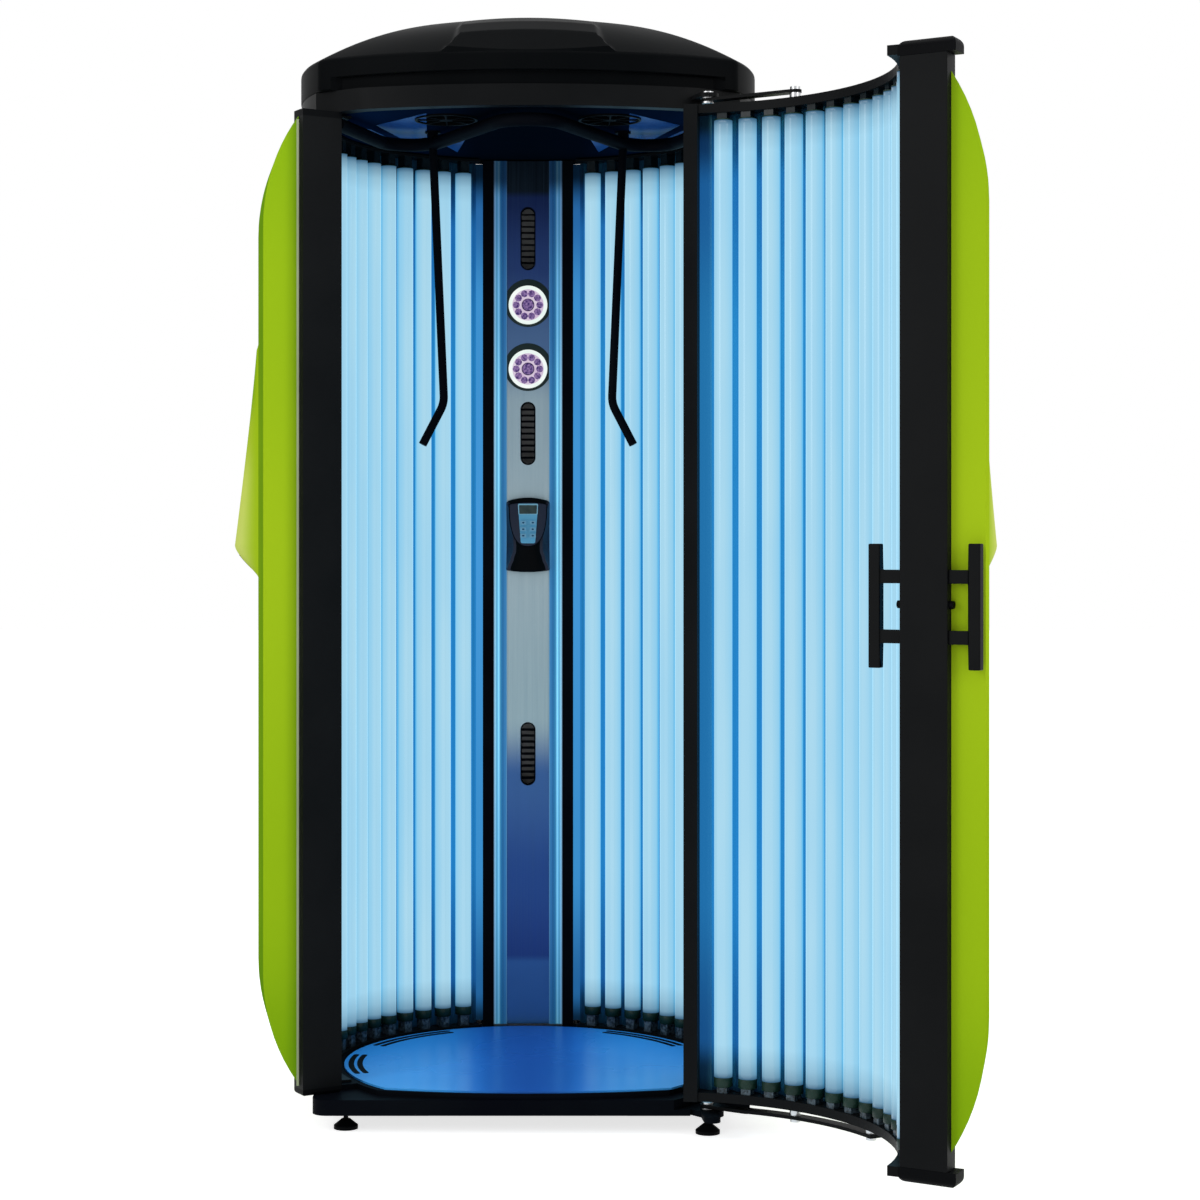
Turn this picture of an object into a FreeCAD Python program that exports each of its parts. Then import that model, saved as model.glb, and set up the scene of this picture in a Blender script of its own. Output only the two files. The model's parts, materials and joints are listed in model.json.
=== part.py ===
import FreeCAD, Part
import math
import os

# Vertical tanning booth.  Millimetres, +Z up, floor at Z = 0, cabin axis at the
# origin, front of the booth towards -Y.  Azimuths are measured from -Y towards +X.
# The door is modelled closed and then swung to its open stop.

# ---- heights ----
FOOT_HEIGHT = 38.0
BASE_HEIGHT = 32.0
TRAY_THICKNESS = 11.0
FLOOR_THICKNESS = 4.0
RING_THICKNESS = 5.0
CABIN_HOLDER_HEIGHT = 24.5
LAMP_LENGTH = 1950.0
CANOPY_RING_HEIGHT = 44.0
CANOPY_PLATE = 4.0
CAP_HEIGHT = 14.0
PILLAR_CAP_HEIGHT = 28.0
PILLAR_CAP_PROUD = 16.0
PILLAR_CAP_INNER = 4.0
PILLAR_CAP_ROUND = 15.0
CAP_ROUND = 8.0

# ---- cabin plan ----
LAMP_CIRCLE = 433.0
LAMP_DIAMETER = 38.0
LAMP_PITCH = 6.73
LAMP_START = 159.7
LEFT_LAMPS = 14
RIGHT_LAMPS = 14
HOLDER_WIDTH = 20.0
HOLDER_DEPTH = 26.0
RING_INNER = 412.0
RING_OUTER = 464.0
REAR_STRIP_ANGLE = 164.5
FLUTE_RADIUS = 28.0
REFLECTOR_THICKNESS = 1.5
STRIP_RADIUS = 454.0
POST_INNER = 451.0
POST_OUTER = 540.0
POST_ANGLE = 4.65
POST_WALL = 3.0
LEFT_FACE = -58.35
RIGHT_FACE = 62.0
REFLECTOR_GAP = 0.3
RIGHT_STRIP_END = 67.0

# ---- covers ----
COVER_STANDOFF = 38.0
COVER_WALL = 3.0
COVER_CURVE = 385.0
COVER_CURVE_HEIGHT = 237.0
CABIN_LIP_RISE = 34.0
DOOR_LIP_RISE = 20.0
LIP_SETBACK = 20.0
LIP_FLARE = 37.0
COVER_JOINT = 150.0
COVER_GAP = 0.3
SCOOP_RISE = 97.0
SCOOP_BUMP = 185.0
SCOOP_BOTTOM = 1122.0
SCOOP_TIP = 1196.0
SCOOP_TOP = 1636.0
SCOOP_WALL = 3.0
SCOOP_ANGLE = 105.0
INTAKE_WIDTH = 150.0
INTAKE_BAR = 12.0

# ---- base ----
BASE_RADIUS = 455.0
BASE_FRONT = 312.0
BASE_LEFT = 440.0
BASE_HINGE_END = 330.0
BASE_RIGHT_FRONT = 262.0
BASE_REAR = 545.0
BASE_REAR_HALF = 160.0
BASE_WALL = 4.0
OUTRIGGER_THICKNESS = 12.0
OUTRIGGER_REACH = 86.0
TRAY_RADIUS = 448.0
TRAY_FRONT_RADIUS = 408.0
FLOOR_RADIUS = 395.0
FLOOR_FRONT = 300.0
FLOOR_ARC = 1207.0
TRAY_MARGIN = 8.0
FLOOR_SLOT_WIDTH = 7.0
FOOT_RADIUS = 25.0
FOOT_STUD = 5.0
REAR_FOOT_ANGLE = 137.7
REAR_FOOT_INSET = 9.0
FRONT_FOOT_X = 374.0
FRONT_FOOT_Y = 254.0

# ---- column at the back ----
COLUMN_FACE = 425.0
PANEL_HALF = 49.0
RAIL_OUTER = 80.0
TRIM_OUTER = 105.0
PANEL_SHEET = 3.0
RAIL_PROUD = 5.0
RAIL_DEPTH = 20.0
DUCT_DEPTH = 46.0
DUCT_WALL = 2.0
SLOT_WIDTH = 35.0
SLOT_HEIGHT = 147.0
SLOT_HEIGHTS = (1910.0, 1457.0, 712.0)
VANE_COUNT = 9
VANE_TILT = 25.0
NOZZLE_WALL = 3.0
FACE_LAMP_HEIGHTS = (1755.6, 1606.8)
FACE_LENS_RADIUS = 46.0
FACE_RING_RADIUS = 52.0
POD_HALF = 51.0
POD_BOTTOM = 1135.0
POD_TOP = 1307.0
POD_DEPTH = 50.0
POD_TAPER = 11.0
DISPLAY_HALF = 23.0
DISPLAY_BOTTOM = 1267.0
DISPLAY_HEIGHT = 23.0
KEY_WIDTH = 14.0
KEY_HEIGHT = 9.0
KEY_PITCH_X = 22.0
KEY_PITCH_Z = 15.0
KEY_TOP_ROW = 1249.0
KEY_PROUD = 2.5
KEY_DEEP = 6.0
KEY_GAP = 0.2
KEY_TRAVEL = 1.2

# ---- canopy ----
CANOPY_RADIUS = 485.0
CANOPY_FRONT = 320.0
CANOPY_SIDE_X = 350.0
CANOPY_SIDE_Y = 267.0
CANOPY_SHOULDER = 65.0
CANOPY_WALL = 26.0
CEILING_THICKNESS = 3.0
CEILING_LIFT = 4.0
LID_OVERHANG = 2.0
LID_CORNER_ANGLE = 62.2
LID_FRONT = 336.0
LID_BAND_TOP = 63.0
LID_RISE = 120.0
LID_ROUNDNESS = 2.4
LID_STEPS = (1.0, 0.94, 0.86, 0.76, 0.64, 0.5, 0.32, 0.14)
LID_WALL = 5.0
RAISED_FOOT_HALF = 188.0
RAISED_CREASE_HALF = 150.0
RAISED_REAR_HALF = 128.0
RAISED_CREASE_Y = 292.0
RAISED_CREASE_RISE = 115.0
RAISED_MIDDLE_Y = 180.0
RAISED_MIDDLE_RISE = 162.0
RAISED_REAR_Y = 60.0
RAISED_REAR_RISE = 185.0
NECK_HEIGHT = 26.0
NECK_INSET = 14.0
NECK_HALF = 400.0
NECK_REAR_Y = 200.0
FAN_OFFSET = 172.0
FAN_Y = 130.0
FAN_RADIUS = 66.0
FAN_RING = 6.0
FAN_HEIGHT = 34.0
FAN_BLADES = 5
HUB_RADIUS = 22.0
BLADE_CLEARANCE = 3.0
FAN_SHAFT = 4.0
RUNNING_FIT = 0.05
GRILLE_BARS = 4

# ---- grab bar and hanging grips ----
BAR_RADIUS = 14.0
BAR_DROP = 22.0
BAR_LEFT_ANGLE = -60.6
BAR_RIGHT_ANGLE = 63.0
BAR_BACK_X = 268.0
BAR_BACK_Y = 166.0
BAR_FRONT_Y = 372.0
BAR_BACK_BEND = 70.0
BAR_FRONT_BEND = 75.0
DROP_RADIUS = 11.0
GRIP_RADIUS = 9.0
GRIP_X = 206.0
GRIP_LEAN = 24.0
GRIP_BEND_DROP = 563.0
GRIP_END_DROP = 653.0
GRIP_SPREAD = 46.0
GRIP_TURN = 10.0
GRIP_BEND = 60.0
CLAMP_RADIUS = 17.0

# ---- door ----
HINGE_X = 366.0
HINGE_Y = -298.0
OPEN_ANGLE = 117.0
DOOR_GAP_BOTTOM = 6.0
DOOR_GAP_TOP = 4.0
DOOR_RAIL = 18.0
RAIL_INNER = 415.0
DOOR_FREE = -58.0
PILLAR_ANGLE = 4.6
DOOR_LAMP_START = 45.9
DOOR_LAMPS = 14
STILE_START = 52.6
STILE_END = 56.5
STILE_INNER = 410.0
DOOR_COVER_END = 29.5
TRIM_SHEET = 3.0
DOOR_SCOOP_ANGLE = -10.0
ARM_CIRCLE = 448.0
ARM_WIDTH = 26.0
ARM_THICKNESS = 7.0
TOP_ARM_THICKNESS = 6.0
ARM_BOLT_ANGLE = 26.5
ARM_END_ANGLE = 0.5
SPACER_RADIUS = 11.0
BOLT_HEAD_RADIUS = 10.0
BOLT_HEAD_HEIGHT = 6.0
TOP_SPACER = 14.0
SWING_GAP = 5.0
PIN_RADIUS = 8.0
PIN_COLLAR = 14.0
PIN_COLLAR_HEIGHT = 3.0
PIN_FLOAT = 0.1
PIN_HEAD = 4.0
BRACKET_THICKNESS = 8.0
BRACKET_GAP = 2.0
HANDLE_BOTTOM = 980.0
HANDLE_TOP = 1200.0
HANDLE_WIDTH = 22.0
HANDLE_DEPTH = 18.0
HANDLE_OUTER = 588.0
HANDLE_INNER = 401.0
HANDLE_INSET = 12.5
STANDOFF_HEIGHT = 24.0
STANDOFF_DEPTH = 14.0
STANDOFF_HEIGHTS = (1036.0, 1142.0)
KNOB_HEIGHT = 1093.0
KNOB_RADIUS = 7.0
KNOB_LENGTH = 9.0

# ---- services behind the column ----
PLATE_GAP = 2.0
PLATE_SHEET = 3.0
PLATE_HALF = 140.0
BALLAST_WIDTH = 60.0
BALLAST_DEPTH = 36.0
BALLAST_HEIGHT = 180.0
BALLAST_ROWS = 6
BALLAST_PITCH = 250.0
BALLAST_FIRST = 480.0
POWER_BOX_HALF = 95.0
POWER_BOX_DEPTH = 44.0
POWER_BOX_HEIGHT = 210.0
POWER_BOX_BOTTOM = 175.0
GLAND_HEIGHT = 430.0
GLAND_RADIUS = 10.0
GLAND_FLANGE = 15.0
CABLE_BORE = 5.0

# ---- spans that outreach the part when one shape cuts another ----
FAR = 500.0

# ---- sizes and levels that follow ----
COVER_RADIUS = POST_OUTER + COVER_STANDOFF
CABIN_LIP_RADIUS = COVER_RADIUS + CABIN_LIP_RISE
DOOR_LIP_RADIUS = COVER_RADIUS + DOOR_LIP_RISE
SCOOP_RADIUS = COVER_RADIUS + SCOOP_RISE
LID_RADIUS = CANOPY_RADIUS + LID_OVERHANG
BASE_TOP = FOOT_HEIGHT + BASE_HEIGHT
TRAY_TOP = BASE_TOP + TRAY_THICKNESS
FLOOR_TOP = TRAY_TOP + FLOOR_THICKNESS
LOWER_RING_TOP = TRAY_TOP + RING_THICKNESS
LAMP_BOTTOM = LOWER_RING_TOP + CABIN_HOLDER_HEIGHT
LAMP_TOP = LAMP_BOTTOM + LAMP_LENGTH
UPPER_RING_BOTTOM = LAMP_TOP + CABIN_HOLDER_HEIGHT
CANOPY_BOTTOM = UPPER_RING_BOTTOM + RING_THICKNESS
CANOPY_TOP = CANOPY_BOTTOM + CANOPY_RING_HEIGHT
BAR_HEIGHT = CANOPY_BOTTOM - BAR_DROP
GRIP_BEND_HEIGHT = BAR_HEIGHT - GRIP_BEND_DROP
GRIP_END_HEIGHT = BAR_HEIGHT - GRIP_END_DROP
DOOR_BOTTOM = BASE_TOP + DOOR_GAP_BOTTOM
DOOR_TOP = CANOPY_BOTTOM - DOOR_GAP_TOP
DOOR_HOLDER = (DOOR_TOP - DOOR_BOTTOM - 2 * DOOR_RAIL - LAMP_LENGTH) / 2
DUCT_FRONT = COLUMN_FACE - RAIL_PROUD + RAIL_DEPTH
PLATE_FRONT = DUCT_FRONT + DUCT_DEPTH + PLATE_GAP
OUTRIGGER_TOP = FOOT_HEIGHT + OUTRIGGER_THICKNESS
ARM_BOTTOM = OUTRIGGER_TOP + PIN_COLLAR_HEIGHT + PIN_FLOAT
TOP_ARM_BOTTOM = DOOR_TOP + TOP_SPACER
BRACKET_BOTTOM = TOP_ARM_BOTTOM + TOP_ARM_THICKNESS + BRACKET_GAP
LAMP_RADIUS = LAMP_DIAMETER / 2

os.makedirs("parts", exist_ok=True)

UP = FreeCAD.Vector(0, 0, 1)
ORIGIN = FreeCAD.Vector(0, 0, 0)


def polar(radius, azimuth, z=0.0):
    angle = math.radians(azimuth)
    return FreeCAD.Vector(radius * math.sin(angle), -radius * math.cos(angle), z)


def arc_between(radius, start, end, z):
    return Part.Arc(
        polar(radius, start, z), polar(radius, (start + end) / 2, z), polar(radius, end, z)
    ).toShape()


def prism(edges, z0, z1):
    face = Part.Face(Part.Wire(Part.__sortEdges__(edges)))
    solid = face.extrude(FreeCAD.Vector(0, 0, z1 - z0))
    solid.translate(FreeCAD.Vector(0, 0, z0))
    return solid


def polygon(points, z0, z1):
    face = Part.Face(Part.makePolygon(points + [points[0]]))
    solid = face.extrude(FreeCAD.Vector(0, 0, z1 - z0))
    solid.translate(FreeCAD.Vector(0, 0, z0))
    return solid


def sector(inner, outer, start, end, z0, z1):
    edges = [
        arc_between(inner, start, end, 0),
        Part.makeLine(polar(inner, end), polar(outer, end)),
        arc_between(outer, start, end, 0),
        Part.makeLine(polar(outer, start), polar(inner, start)),
    ]
    return prism(edges, z0, z1)


def rod(x, y, z0, z1, radius):
    return Part.makeCylinder(radius, z1 - z0, FreeCAD.Vector(x, y, z0))


def block(x0, x1, y0, y1, z0, z1):
    return Part.makeBox(x1 - x0, y1 - y0, z1 - z0, FreeCAD.Vector(x0, y0, z0))


def turned(shape, azimuth, x=0.0, y=0.0):
    moved = shape.copy()
    moved.rotate(FreeCAD.Vector(x, y, 0), UP, azimuth)
    return moved


def fused(shapes):
    result = shapes[0]
    if len(shapes) > 1:
        result = result.multiFuse(shapes[1:])
    return result.removeSplitter()


def opened(shape):
    return turned(shape, OPEN_ANGLE, HINGE_X, HINGE_Y)


NODES = {}


def save(name, shapes):
    if not isinstance(shapes, list):
        shapes = [shapes]
    NODES[name] = Part.makeCompound(shapes) if len(shapes) > 1 else shapes[0]


def save_door(name, shapes):
    if not isinstance(shapes, list):
        shapes = [shapes]
    save(name, [opened(shape) for shape in shapes])


def bar_between(x0, y0, x1, y1, width, z0, z1):
    """Flat strap with round ends."""
    length = math.hypot(x1 - x0, y1 - y0)
    strap = block(0, length, -width / 2, width / 2, z0, z1)
    strap = fused([strap, rod(0, 0, z0, z1, width / 2), rod(length, 0, z0, z1, width / 2)])
    strap.rotate(ORIGIN, UP, math.degrees(math.atan2(y1 - y0, x1 - x0)))
    strap.translate(FreeCAD.Vector(x0, y0, 0))
    return strap


# ---------------------------------------------------------------- lamps
def lamp_azimuths(first, count, step):
    return [first + step * index for index in range(count)]


def lamps(azimuths, z0):
    centres = [polar(LAMP_CIRCLE, azimuth) for azimuth in azimuths]
    return [rod(c.x, c.y, z0, z0 + LAMP_LENGTH, LAMP_RADIUS) for c in centres]


def holders(azimuths, z0, height):
    result = []
    for azimuth in azimuths:
        socket = block(
            -HOLDER_WIDTH / 2, HOLDER_WIDTH / 2,
            -LAMP_CIRCLE - HOLDER_DEPTH / 2, -LAMP_CIRCLE + HOLDER_DEPTH / 2,
            z0, z0 + height,
        )
        result.append(turned(socket, azimuth))
    return result


def reflector(azimuths, start, end, z0, z1):
    """Polished sheet with one flute behind every lamp and a plain strip at each end."""
    half = LAMP_PITCH / 2
    half_chord = LAMP_CIRCLE * math.sin(math.radians(half))
    mid_chord = LAMP_CIRCLE * math.cos(math.radians(half))
    ordered = sorted(azimuths)

    def row(flute, strip):
        cusp = mid_chord + math.sqrt(flute * flute - half_chord * half_chord)
        edges = []
        first = polar(cusp, ordered[0] - half)
        last = polar(cusp, ordered[-1] + half)
        edges.append(Part.makeLine(polar(strip, start), first))
        for azimuth in ordered:
            edges.append(Part.Arc(
                polar(cusp, azimuth - half),
                polar(LAMP_CIRCLE + flute, azimuth),
                polar(cusp, azimuth + half),
            ).toShape())
        edges.append(Part.makeLine(last, polar(strip, end)))
        return edges

    edges = row(FLUTE_RADIUS, STRIP_RADIUS)
    edges += row(FLUTE_RADIUS + REFLECTOR_THICKNESS, STRIP_RADIUS + REFLECTOR_THICKNESS)
    for azimuth in (start, end):
        edges.append(Part.makeLine(
            polar(STRIP_RADIUS, azimuth), polar(STRIP_RADIUS + REFLECTOR_THICKNESS, azimuth)
        ))
    return prism(edges, z0, z1)


left_lamp_row = lamp_azimuths(-LAMP_START, LEFT_LAMPS, LAMP_PITCH)
right_lamp_row = lamp_azimuths(LAMP_START, RIGHT_LAMPS, -LAMP_PITCH)
door_lamp_row = lamp_azimuths(DOOR_LAMP_START, DOOR_LAMPS, -LAMP_PITCH)
cabin_lamp_row = left_lamp_row + right_lamp_row
left_post_end = LEFT_FACE - POST_ANGLE
right_post_end = RIGHT_FACE + POST_ANGLE
door_pillar_end = DOOR_FREE + PILLAR_ANGLE


# ---------------------------------------------------------------- covers
def cover_profile(outset, z0, z1, inner):
    """Closed radial section of a cover, bulged outside and square inside."""
    radius = COVER_RADIUS - outset
    bottom = z0 + outset
    top = z1 - outset
    rise = COVER_CURVE_HEIGHT - outset
    lean = math.asin(COVER_CURVE_HEIGHT / COVER_CURVE)
    curve = COVER_CURVE - outset
    tuck = curve * (1 - math.sqrt(1 - (rise / curve) ** 2))
    half_tuck = curve * (1 - math.cos(lean / 2))
    half_rise = curve * math.sin(lean / 2)
    rim = radius - tuck
    low = FreeCAD.Vector(rim, 0, bottom)
    high = FreeCAD.Vector(rim, 0, top)
    low_full = FreeCAD.Vector(radius, 0, bottom + rise)
    high_full = FreeCAD.Vector(radius, 0, top - rise)
    low_mid = FreeCAD.Vector(radius - half_tuck, 0, bottom + rise - half_rise)
    high_mid = FreeCAD.Vector(radius - half_tuck, 0, top - rise + half_rise)
    edges = [
        Part.makeLine(FreeCAD.Vector(inner, 0, bottom), low),
        Part.Arc(low, low_mid, low_full).toShape(),
        Part.makeLine(low_full, high_full),
        Part.Arc(high_full, high_mid, high).toShape(),
        Part.makeLine(high, FreeCAD.Vector(inner, 0, top)),
        Part.makeLine(FreeCAD.Vector(inner, 0, top), FreeCAD.Vector(inner, 0, bottom)),
    ]
    return Part.Face(Part.Wire(edges))


def cover_solid(outset, z0, z1, inner, start, end):
    """Solid of revolution of the cover section between two azimuths."""
    face = cover_profile(outset, z0, z1, inner)
    solid = face.revolve(ORIGIN, UP, end - start)
    return turned(solid, start - 90)


def lip_plan(lip_radius):
    """Azimuth offsets of the lip root, the lip crease and the tangent point."""
    root = math.degrees(math.asin(LIP_SETBACK / POST_OUTER))
    crease = math.degrees(math.asin(LIP_FLARE / lip_radius))
    tangent = crease + math.degrees(math.acos(COVER_RADIUS / lip_radius))
    return root, crease, tangent


def lip_block(outset, z0, z1, tangent, length):
    """Straight run of the cover section, forward from the tangent point."""
    face = cover_profile(outset, z0, z1, RING_OUTER - 60)
    face.rotate(ORIGIN, UP, tangent - 90)
    return face.extrude(polar(length, tangent - 90))


def side_cover(lip_radius, sweep, z0, z1):
    """Cover with its lip beside azimuth 0, sweeping towards positive azimuths."""
    root, crease, tangent = lip_plan(lip_radius)
    run = math.sqrt(lip_radius ** 2 - COVER_RADIUS ** 2)
    barrel = cover_solid(0, z0, z1, RING_OUTER, tangent, sweep)
    core = cover_solid(COVER_WALL, z0, z1, RING_OUTER - 10, tangent - 1, sweep + 1)
    barrel = barrel.cut(core)
    front = lip_block(0, z0, z1, tangent, run + 80)
    hollow = lip_block(COVER_WALL, z0, z1, tangent, run + 80)
    root_point = polar(POST_OUTER + REFLECTOR_GAP, root)
    crease_point = polar(lip_radius, crease)
    forward = crease_point - root_point
    forward.normalize()
    far = root_point + forward * FAR
    near = root_point - forward * 120
    inward = FreeCAD.Vector(-forward.y, forward.x, 0)
    behind = polygon([near, far, far + inward * FAR, near + inward * FAR], z0, z1)
    back = [near, far, far + inward * COVER_WALL, near + inward * COVER_WALL]
    lip_zone = polygon(back, z0, z1)
    wedge = front.common(behind)
    shell = wedge.cut(hollow)
    lip = front.common(lip_zone)
    inside = Part.makeCylinder(POST_OUTER + REFLECTOR_GAP, z1 - z0, FreeCAD.Vector(0, 0, z0))
    lip = lip.cut(inside)
    post_zone = sector(RING_OUTER - 100, POST_OUTER + REFLECTOR_GAP, -5, POST_ANGLE + 0.3, z0, z1)
    shell = shell.cut(post_zone).cut(Part.makeCylinder(RING_OUTER, z1, ORIGIN))
    return fused([barrel, shell, lip])


def scoop_body(outset):
    """Air scoop on a cover at azimuth 0: a bulge that widens downwards to its open mouth."""
    profile = Part.makePolygon([
        FreeCAD.Vector(0, -COVER_RADIUS + 40, SCOOP_BOTTOM - 30),
        FreeCAD.Vector(0, -COVER_RADIUS, SCOOP_BOTTOM),
        FreeCAD.Vector(0, -SCOOP_RADIUS + outset, SCOOP_TIP),
        FreeCAD.Vector(0, -COVER_RADIUS + outset, SCOOP_TOP - outset),
        FreeCAD.Vector(0, -COVER_RADIUS + 40, SCOOP_TOP - outset),
        FreeCAD.Vector(0, -COVER_RADIUS + 40, SCOOP_BOTTOM - 30),
    ])
    slab = Part.Face(profile).extrude(FreeCAD.Vector(500, 0, 0))
    slab.translate(FreeCAD.Vector(-250, 0, 0))
    bump = rod(0, -SCOOP_RADIUS + SCOOP_BUMP, 0, SCOOP_TOP + 100, SCOOP_BUMP - outset)
    return slab.common(bump)


def scoop():
    outer = scoop_body(0)
    inner = scoop_body(SCOOP_WALL)
    inner_low = inner.copy()
    inner_low.translate(FreeCAD.Vector(0, 0, -SCOOP_WALL))
    body = outer.cut(inner).cut(inner_low)
    shell = body.cut(rod(0, 0, 0, SCOOP_TOP + 200, COVER_RADIUS))
    bars = []
    for offset in (-1, 0, 1):
        x = offset * INTAKE_WIDTH / 3
        bars.append(block(x - 2, x + 2, -SCOOP_RADIUS, -COVER_RADIUS + 40,
                          SCOOP_BOTTOM - INTAKE_BAR, SCOOP_TIP))
    slope = outer.cut(translated(outer, 0, 0, INTAKE_BAR))
    ribs = [bar.common(slope).cut(rod(0, 0, 0, SCOOP_TOP + 200, COVER_RADIUS)) for bar in bars]
    return fused([shell] + ribs)


def translated(shape, dx, dy, dz):
    moved = shape.copy()
    moved.translate(FreeCAD.Vector(dx, dy, dz))
    return moved


def intake():
    """Opening behind a scoop."""
    return block(-INTAKE_WIDTH / 2, INTAKE_WIDTH / 2, -SCOOP_RADIUS, -RING_OUTER - 20,
                 SCOOP_TIP - 20, SCOOP_TIP + 160)


def left_of(shape):
    return shape.mirror(ORIGIN, FreeCAD.Vector(1, 0, 0))


right_sweep = COVER_JOINT - RIGHT_FACE
left_sweep = COVER_JOINT + LEFT_FACE
right_cover = turned(side_cover(CABIN_LIP_RADIUS, right_sweep, TRAY_TOP, CANOPY_BOTTOM), RIGHT_FACE)
left_cover = left_of(side_cover(CABIN_LIP_RADIUS, left_sweep, TRAY_TOP, CANOPY_BOTTOM))
left_cover = turned(left_cover, LEFT_FACE)
save("side_cover_left", left_cover.cut(turned(intake(), -SCOOP_ANGLE)))
save("side_cover_right", right_cover.cut(turned(intake(), SCOOP_ANGLE)))
save("air_scoops", [turned(scoop(), -SCOOP_ANGLE), turned(scoop(), SCOOP_ANGLE)])

joint = COVER_JOINT + math.degrees(COVER_GAP / COVER_RADIUS)
rear = cover_solid(0, TRAY_TOP, CANOPY_BOTTOM, RING_OUTER, joint, 360 - joint)
rear = rear.cut(cover_solid(COVER_WALL, TRAY_TOP, CANOPY_BOTTOM, RING_OUTER - 10, joint - 1, 361 - joint))
rear = rear.cut(block(-BASE_REAR_HALF, BASE_REAR_HALF, 0, PLATE_FRONT + PLATE_SHEET, 0, CANOPY_BOTTOM))
gland_hole = Part.makeCylinder(
    GLAND_RADIUS, 60, FreeCAD.Vector(0, COVER_RADIUS - 30, GLAND_HEIGHT), FreeCAD.Vector(0, 1, 0)
)
rear = rear.cut(gland_hole)
vent_slots = []
for row_index in range(6):
    height = 1500 + row_index * 60
    vent_slots.append(block(-110, 110, COVER_RADIUS - 60, COVER_RADIUS + 20, height, height + 14))
save("rear_cover", rear.cut(Part.makeCompound(vent_slots)))

# ---------------------------------------------------------------- base
front_block = block(-BASE_LEFT, BASE_HINGE_END, -BASE_FRONT, 0, FOOT_HEIGHT, BASE_TOP)
front_block = front_block.makeFillet(30, [
    edge for edge in front_block.Edges
    if abs(edge.Vertexes[0].X + BASE_LEFT) < 0.01
    and abs(edge.Vertexes[0].Y + BASE_FRONT) < 0.01
    and abs(edge.Vertexes[0].X - edge.Vertexes[1].X) < 0.01
    and abs(edge.Vertexes[0].Y - edge.Vertexes[1].Y) < 0.01
])
round_deck = rod(0, 0, FOOT_HEIGHT, BASE_TOP, BASE_RADIUS)
keep = block(-BASE_RADIUS, BASE_RADIUS, -BASE_RIGHT_FRONT, BASE_RADIUS, FOOT_HEIGHT, BASE_TOP)
round_deck = round_deck.common(keep)
rear_block = block(-BASE_REAR_HALF, BASE_REAR_HALF, 0, BASE_REAR, FOOT_HEIGHT, BASE_TOP)
side_deck = block(0, BASE_RADIUS, -BASE_RIGHT_FRONT, 0, FOOT_HEIGHT, BASE_TOP)
deck = fused([front_block, round_deck, rear_block, side_deck])
pocket_parts = []
for quarter in range(4):
    pocket_parts.append(sector(120, BASE_RADIUS - 40, quarter * 90 + 12 - 45,
                               quarter * 90 + 78 - 45, FOOT_HEIGHT, BASE_TOP - BASE_WALL))
deck = deck.cut(Part.makeCompound(pocket_parts))
tip = bar_between(HINGE_X - 60, HINGE_Y + 70, HINGE_X + 4, HINGE_Y - 8, 2 * FOOT_RADIUS + 6,
                  FOOT_HEIGHT, OUTRIGGER_TOP)
nose = bar_between(HINGE_X, HINGE_Y, HINGE_X + 4, HINGE_Y - OUTRIGGER_REACH + 20, 34,
                   FOOT_HEIGHT, OUTRIGGER_TOP)
arm_path = sector(ARM_CIRCLE - ARM_WIDTH / 2 - SWING_GAP, ARM_CIRCLE + ARM_WIDTH * 2, 38, 58,
                  OUTRIGGER_TOP, BASE_TOP)
deck = fused([deck.cut(arm_path), tip, nose])
pin_hole = rod(HINGE_X, HINGE_Y, 0, BASE_TOP, PIN_RADIUS)
save("base_frame", deck.cut(pin_hole))

feet = []
rear_foot = polar(BASE_RADIUS - REAR_FOOT_INSET, REAR_FOOT_ANGLE)
for foot_x, foot_y in (
    (-FRONT_FOOT_X, -FRONT_FOOT_Y), (HINGE_X, HINGE_Y),
    (-rear_foot.x, rear_foot.y), (rear_foot.x, rear_foot.y),
):
    pad = rod(foot_x, foot_y, 0, 7, FOOT_RADIUS)
    cone = Part.makeCone(FOOT_RADIUS, FOOT_STUD + 4, 13, FreeCAD.Vector(foot_x, foot_y, 7))
    stud = rod(foot_x, foot_y, 7, FOOT_HEIGHT, FOOT_STUD)
    feet.append(fused([pad, cone, stud]))
save("levelling_feet", feet)


def floor_plan(radius, front, z0, z1):
    """Round plate whose front is cut by a shallow arc."""
    disc = rod(0, 0, z0, z1, radius)
    arc = rod(0, FLOOR_ARC - front, z0, z1, FLOOR_ARC)
    return disc.common(arc)


tray = floor_plan(TRAY_RADIUS, FLOOR_FRONT + TRAY_MARGIN, BASE_TOP, TRAY_TOP)
door_zone = sector(TRAY_FRONT_RADIUS, TRAY_RADIUS + 20, LEFT_FACE - 2, RIGHT_FACE, BASE_TOP, TRAY_TOP)
tray = tray.cut(door_zone)
tray = tray.cut(block(-TRIM_OUTER, TRIM_OUTER, COLUMN_FACE - RAIL_PROUD, TRAY_RADIUS + 10, BASE_TOP, TRAY_TOP))
stile_reach = polar(STILE_INNER, STILE_END) - FreeCAD.Vector(HINGE_X, HINGE_Y, 0)
tray = tray.cut(rod(HINGE_X, HINGE_Y, BASE_TOP, TRAY_TOP, stile_reach.Length + SWING_GAP))
save("floor_tray", tray)

floor = floor_plan(FLOOR_RADIUS, FLOOR_FRONT, TRAY_TOP, FLOOR_TOP)
slots = []
for slot_start in (-92, -148, 128, 72):
    for ring_index in range(2):
        outer = FLOOR_RADIUS - 14 - ring_index * 2 * FLOOR_SLOT_WIDTH
        slots.append(sector(outer - FLOOR_SLOT_WIDTH, outer, slot_start, slot_start + 20, TRAY_TOP, FLOOR_TOP))
save("floor_panel", floor.cut(Part.makeCompound(slots)))

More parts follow.
